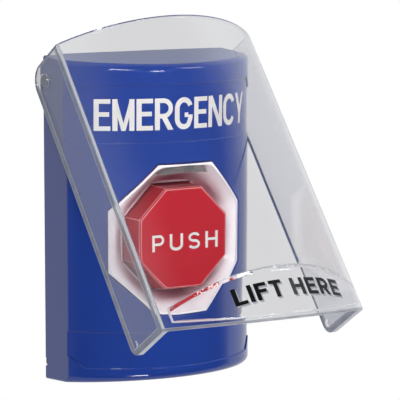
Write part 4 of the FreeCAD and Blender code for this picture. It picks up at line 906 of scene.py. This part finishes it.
def letter(name, w, h, t):
    """The bars of one capital in a box w wide and h high, with stems t thick."""
    arm = t * ARM_TO_STEM
    slant = t * SLANT_TO_STEM
    a = arm / 2
    left = t / 2
    right = w - left
    middle = h * WAIST
    stem = upright_bar(left, left, 0, h, t)
    far_stem = upright_bar(right, right, 0, h, t)
    top_arm = level_bar(t, w, h - a, arm)
    low_arm = level_bar(t, w, a, arm)
    centre_arm = level_bar(t, w * 0.93, middle, arm)
    bowl_low = h * BOWL_FOOT
    r = (h - a - bowl_low) / 2
    bowl = bent_bar([(t, h - a)] + bend(right - r, h - a - r, r, r, 90, -90) + [(t, bowl_low)], arm)
    rx = w / 2 - left
    ry = h * CUP_CURVE
    cup = bend(w / 2, h - a - ry, rx, ry, 18, 180) + bend(w / 2, a + ry, rx, ry, 180, 342)
    s_rx = w / 2 - a
    s_ry = (h - arm) / 4
    shapes = {
        "E": [stem, top_arm, centre_arm, low_arm],
        "F": [stem, top_arm, centre_arm],
        "H": [stem, far_stem, level_bar(t, w - t, middle, arm)],
        "I": [upright_bar(w / 2, w / 2, 0, h, t)],
        "L": [stem, low_arm],
        "T": [level_bar(0, w, h - a, arm), upright_bar(w / 2, w / 2, 0, h - arm, t)],
        "M": [stem, far_stem, upright_bar(w / 2, left * 0.9, 0, h, t * 0.8),
              upright_bar(w / 2, w - left * 0.9, 0, h, t * 0.8)],
        "N": [stem, far_stem, upright_bar(right, left, 0, h, slant)],
        "Y": [upright_bar(w / 2, w / 2, 0, h * 0.42, t),
              upright_bar(w / 2, left * 1.1, h * 0.36, h, slant),
              upright_bar(w / 2, w - left * 1.1, h * 0.36, h, slant)],
        "P": [stem, bowl],
        "R": [stem, bowl, upright_bar(right, right - r, 0, bowl_low, slant)],
        "C": [bent_bar(cup, t)],
        "G": [bent_bar(cup[:-3] + [(right, a + ry), (right, middle - a)], t),
              level_bar(w * 0.54, w - t, middle - a, arm)],
        "U": [bent_bar([(left, h)] + bend(w / 2, a + ry, rx, ry, 180, 360) + [(right, h)], t)],
        "S": [bent_bar(bend(w / 2, h - a - s_ry, s_rx, s_ry, 22, 268)
                       + bend(w / 2, a + s_ry, s_rx, s_ry, 88, -158), arm)],
    }
    return shapes[name]


def set_word(text, widths, gap, tall, thick, space=0.0):
    """All bars of a word, letter after letter from the left, and the word's length."""
    bars = []
    x = 0.0
    for name in text:
        if name == " ":
            x += space - gap
            continue
        shift = Vector((x, 0))
        bars += [[(p + shift, q + shift) for p, q in bar]
                 for bar in letter(name, widths[name], tall, thick)]
        x += widths[name] + gap
    return bars, x - gap


print("an E has", len(letter("E", 6, 12, 2)), "bars, an S has", len(letter("S", 6, 12, 2)))

# %% [markdown]
# Ink lies on its surface. A word could be bent by formula for each surface, but every point
# of it can also be found by shooting a ray at the node that carries it, which works for any
# shape. The film is set a few hundredths of a millimetre proud of what the ray meets, and
# bars that cross lie a hair apart, so that no two faces share a place.


# %% Printing a word on a node
INK_PROUD = 0.05
LAYER_MM = 0.004
LAYERS = 4


def print_word(name, strokes, node, shoot, lift_mm, ink, body):
    """Makes the ink film: shoot turns a point of the word into a ray at the node."""
    vertices = []
    faces = []
    for layer, sides in enumerate(strokes):
        first = len(vertices)
        proud = mm(lift_mm + LAYER_MM * (layer % LAYERS))
        for pair in sides:
            for point in pair:
                origin, way = shoot(point)
                hit, met, _, _ = node.ray_cast(origin, way)
                if not hit:
                    raise RuntimeError(f"{name} misses {node.name}")
                vertices.append(met - way * proud)
        for i in range(len(sides) - 1):
            a = first + 2 * i
            faces.append((a, a + 1, a + 3, a + 2))
    film = add_mesh(name, vertices, faces, ink)
    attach(film, body)
    print(name, "faces", len(faces))


# %% [markdown]
# The words are screen-printed. Such ink is opaque and slightly satin, with a fine grain from
# the threads of the screen, about 0.3 mm apart. A plain colour would look like a sticker, so
# a noise of that size lets the tone waver by a few percent.


# %% Inks
SCREEN_MM = 0.3
WORN_SHARE = 0.94


def printing_ink(name, colour, roughness):
    """Opaque satin ink with the faint grain of a printing screen."""
    material, tree, out = new_material(name)
    place = add_node(tree, "ShaderNodeTexCoord")
    grain = add_node(tree, "ShaderNodeTexNoise", Vector=(place, "Object"),
                     Scale=1000 / SCREEN_MM, Detail=1.0)
    worn = tuple(c * WORN_SHARE for c in linear(colour)[:3]) + (1.0,)
    tint = add_node(tree, "ShaderNodeMix", COLOURS, Factor=grain, _6=linear(colour), _7=worn)
    ink = add_node(tree, "ShaderNodeBsdfPrincipled", Base_Color=(tint, 2), Roughness=roughness)
    tree.links.new(ink.outputs[0], out.inputs[0])
    print(name, colour)
    return material


# White ink on the housing and the button, thick enough to hide what is under it.
white_ink = printing_ink("white_ink", "#d8d6d1", roughness=0.45)
# Black ink on the clear lip, which the smooth plastic leaves glossier.
black_ink = printing_ink("black_ink", "#050506", roughness=0.25)
# Grey ink for the soft shadow beside the black word.
grey_ink = printing_ink("grey_ink", "#9fa2a9", roughness=0.5)

# %% [markdown]
# EMERGENCY fills the housing's upper field, in bold narrow letters that can be read from
# across a room. The screen wraps round the front as it prints, so the word's width runs along
# the housing's arc. Printed flat and projected, its ends would come out too wide.

# %% EMERGENCY in the upper field
HOUSING_WIDTH = 82.5
FRONT_BULGE = 21.0
FRONT_RADIUS = (HOUSING_WIDTH ** 2 / 4 + FRONT_BULGE ** 2) / (2 * FRONT_BULGE)
EMERGENCY_BASE = 35.7
EMERGENCY_TALL = 12.0
EMERGENCY_THICK = 1.95
EMERGENCY_GAP = 0.75
EMERGENCY_SHIFT = -0.3
EMERGENCY_WIDTHS = {"E": 6.3, "M": 8.3, "R": 7.3, "G": 7.7, "N": 7.8, "C": 8.0, "Y": 8.6}
IN_FRONT = -200

emergency_bars, emergency_long = set_word("EMERGENCY", EMERGENCY_WIDTHS, EMERGENCY_GAP,
                                          EMERGENCY_TALL, EMERGENCY_THICK)


def at_upper_field(point):
    """A ray at the front, with the word's width measured along the arc."""
    turn = (point.x - emergency_long / 2 + EMERGENCY_SHIFT) / FRONT_RADIUS
    x = FRONT_RADIUS * math.sin(turn)
    return mm(x, IN_FRONT, EMERGENCY_BASE + point.y), Vector((0, 1, 0))


print_word("word_emergency", emergency_bars, nodes["front_housing"], at_upper_field,
           INK_PROUD, white_ink, "station")

# %% [markdown]
# PUSH stands in the middle of the button, small and light, with wide gaps between its
# letters. The face is flat, so the word needs no bending, and its rays go straight back.

# %% PUSH on the button
PUSH_BASE = -11.1
PUSH_TALL = 6.4
PUSH_THICK = 1.1
PUSH_GAP = 2.5
PUSH_SHIFT = 0.6
PUSH_WIDTHS = {"P": 5.4, "U": 5.9, "S": 5.2, "H": 5.6}

push_bars, push_long = set_word("PUSH", PUSH_WIDTHS, PUSH_GAP, PUSH_TALL, PUSH_THICK)


def at_button(point):
    """A ray at the button's flat face."""
    x = point.x - push_long / 2 + PUSH_SHIFT
    return mm(x, IN_FRONT, PUSH_BASE + point.y), Vector((0, 1, 0))


print_word("word_push", push_bars, nodes["push_button"], at_button, INK_PROUD, white_ink,
           "button")

# %% [markdown]
# LIFT HERE is printed on the cover while it lies flat, so its rays go square to the cover's
# middle, in the cover's own frame: x across, y up its front and z out of it, with the origin
# on the hinge line. The printed word has a soft grey shadow a little below and to its right,
# which is the same word again in grey ink, moved and a hair lower.

# %% LIFT HERE on the lip
LIFT_BASE = -122.4
LIFT_TALL = 6.9
LIFT_THICK = 1.6
LIFT_GAP = 1.1
LIFT_SPACE = 3.7
LIFT_SHIFT = 0.8
LIFT_WIDTHS = {"L": 4.6, "I": 1.4, "F": 4.6, "T": 5.0, "H": 5.6, "E": 4.8, "R": 5.2}
SHADOW_SHIFT = Vector((0.45, -0.75))
ABOVE_COVER = 100

lift_bars, lift_long = set_word("LIFT HERE", LIFT_WIDTHS, LIFT_GAP, LIFT_TALL, LIFT_THICK,
                                LIFT_SPACE)
shadow_bars = [[(p + SHADOW_SHIFT, q + SHADOW_SHIFT) for p, q in bar] for bar in lift_bars]


def at_lip(point):
    """A ray at the lip, square to the cover's middle."""
    across = mm(point.x - lift_long / 2 + LIFT_SHIFT)
    start = HINGE_PLACE + Vector((across, 0, 0)) + cover_up * mm(LIFT_BASE + point.y)
    return start + cover_face * mm(ABOVE_COVER), -cover_face


print_word("word_lift_here", lift_bars, nodes["lift_cover"], at_lip, 2 * INK_PROUD,
           black_ink, "cover")
print_word("word_lift_shadow", shadow_bars, nodes["lift_cover"], at_lip, INK_PROUD,
           grey_ink, "cover")

# %% [markdown]
# The last cell closes the script with a line of output.

# %% Finish
print("script finished")
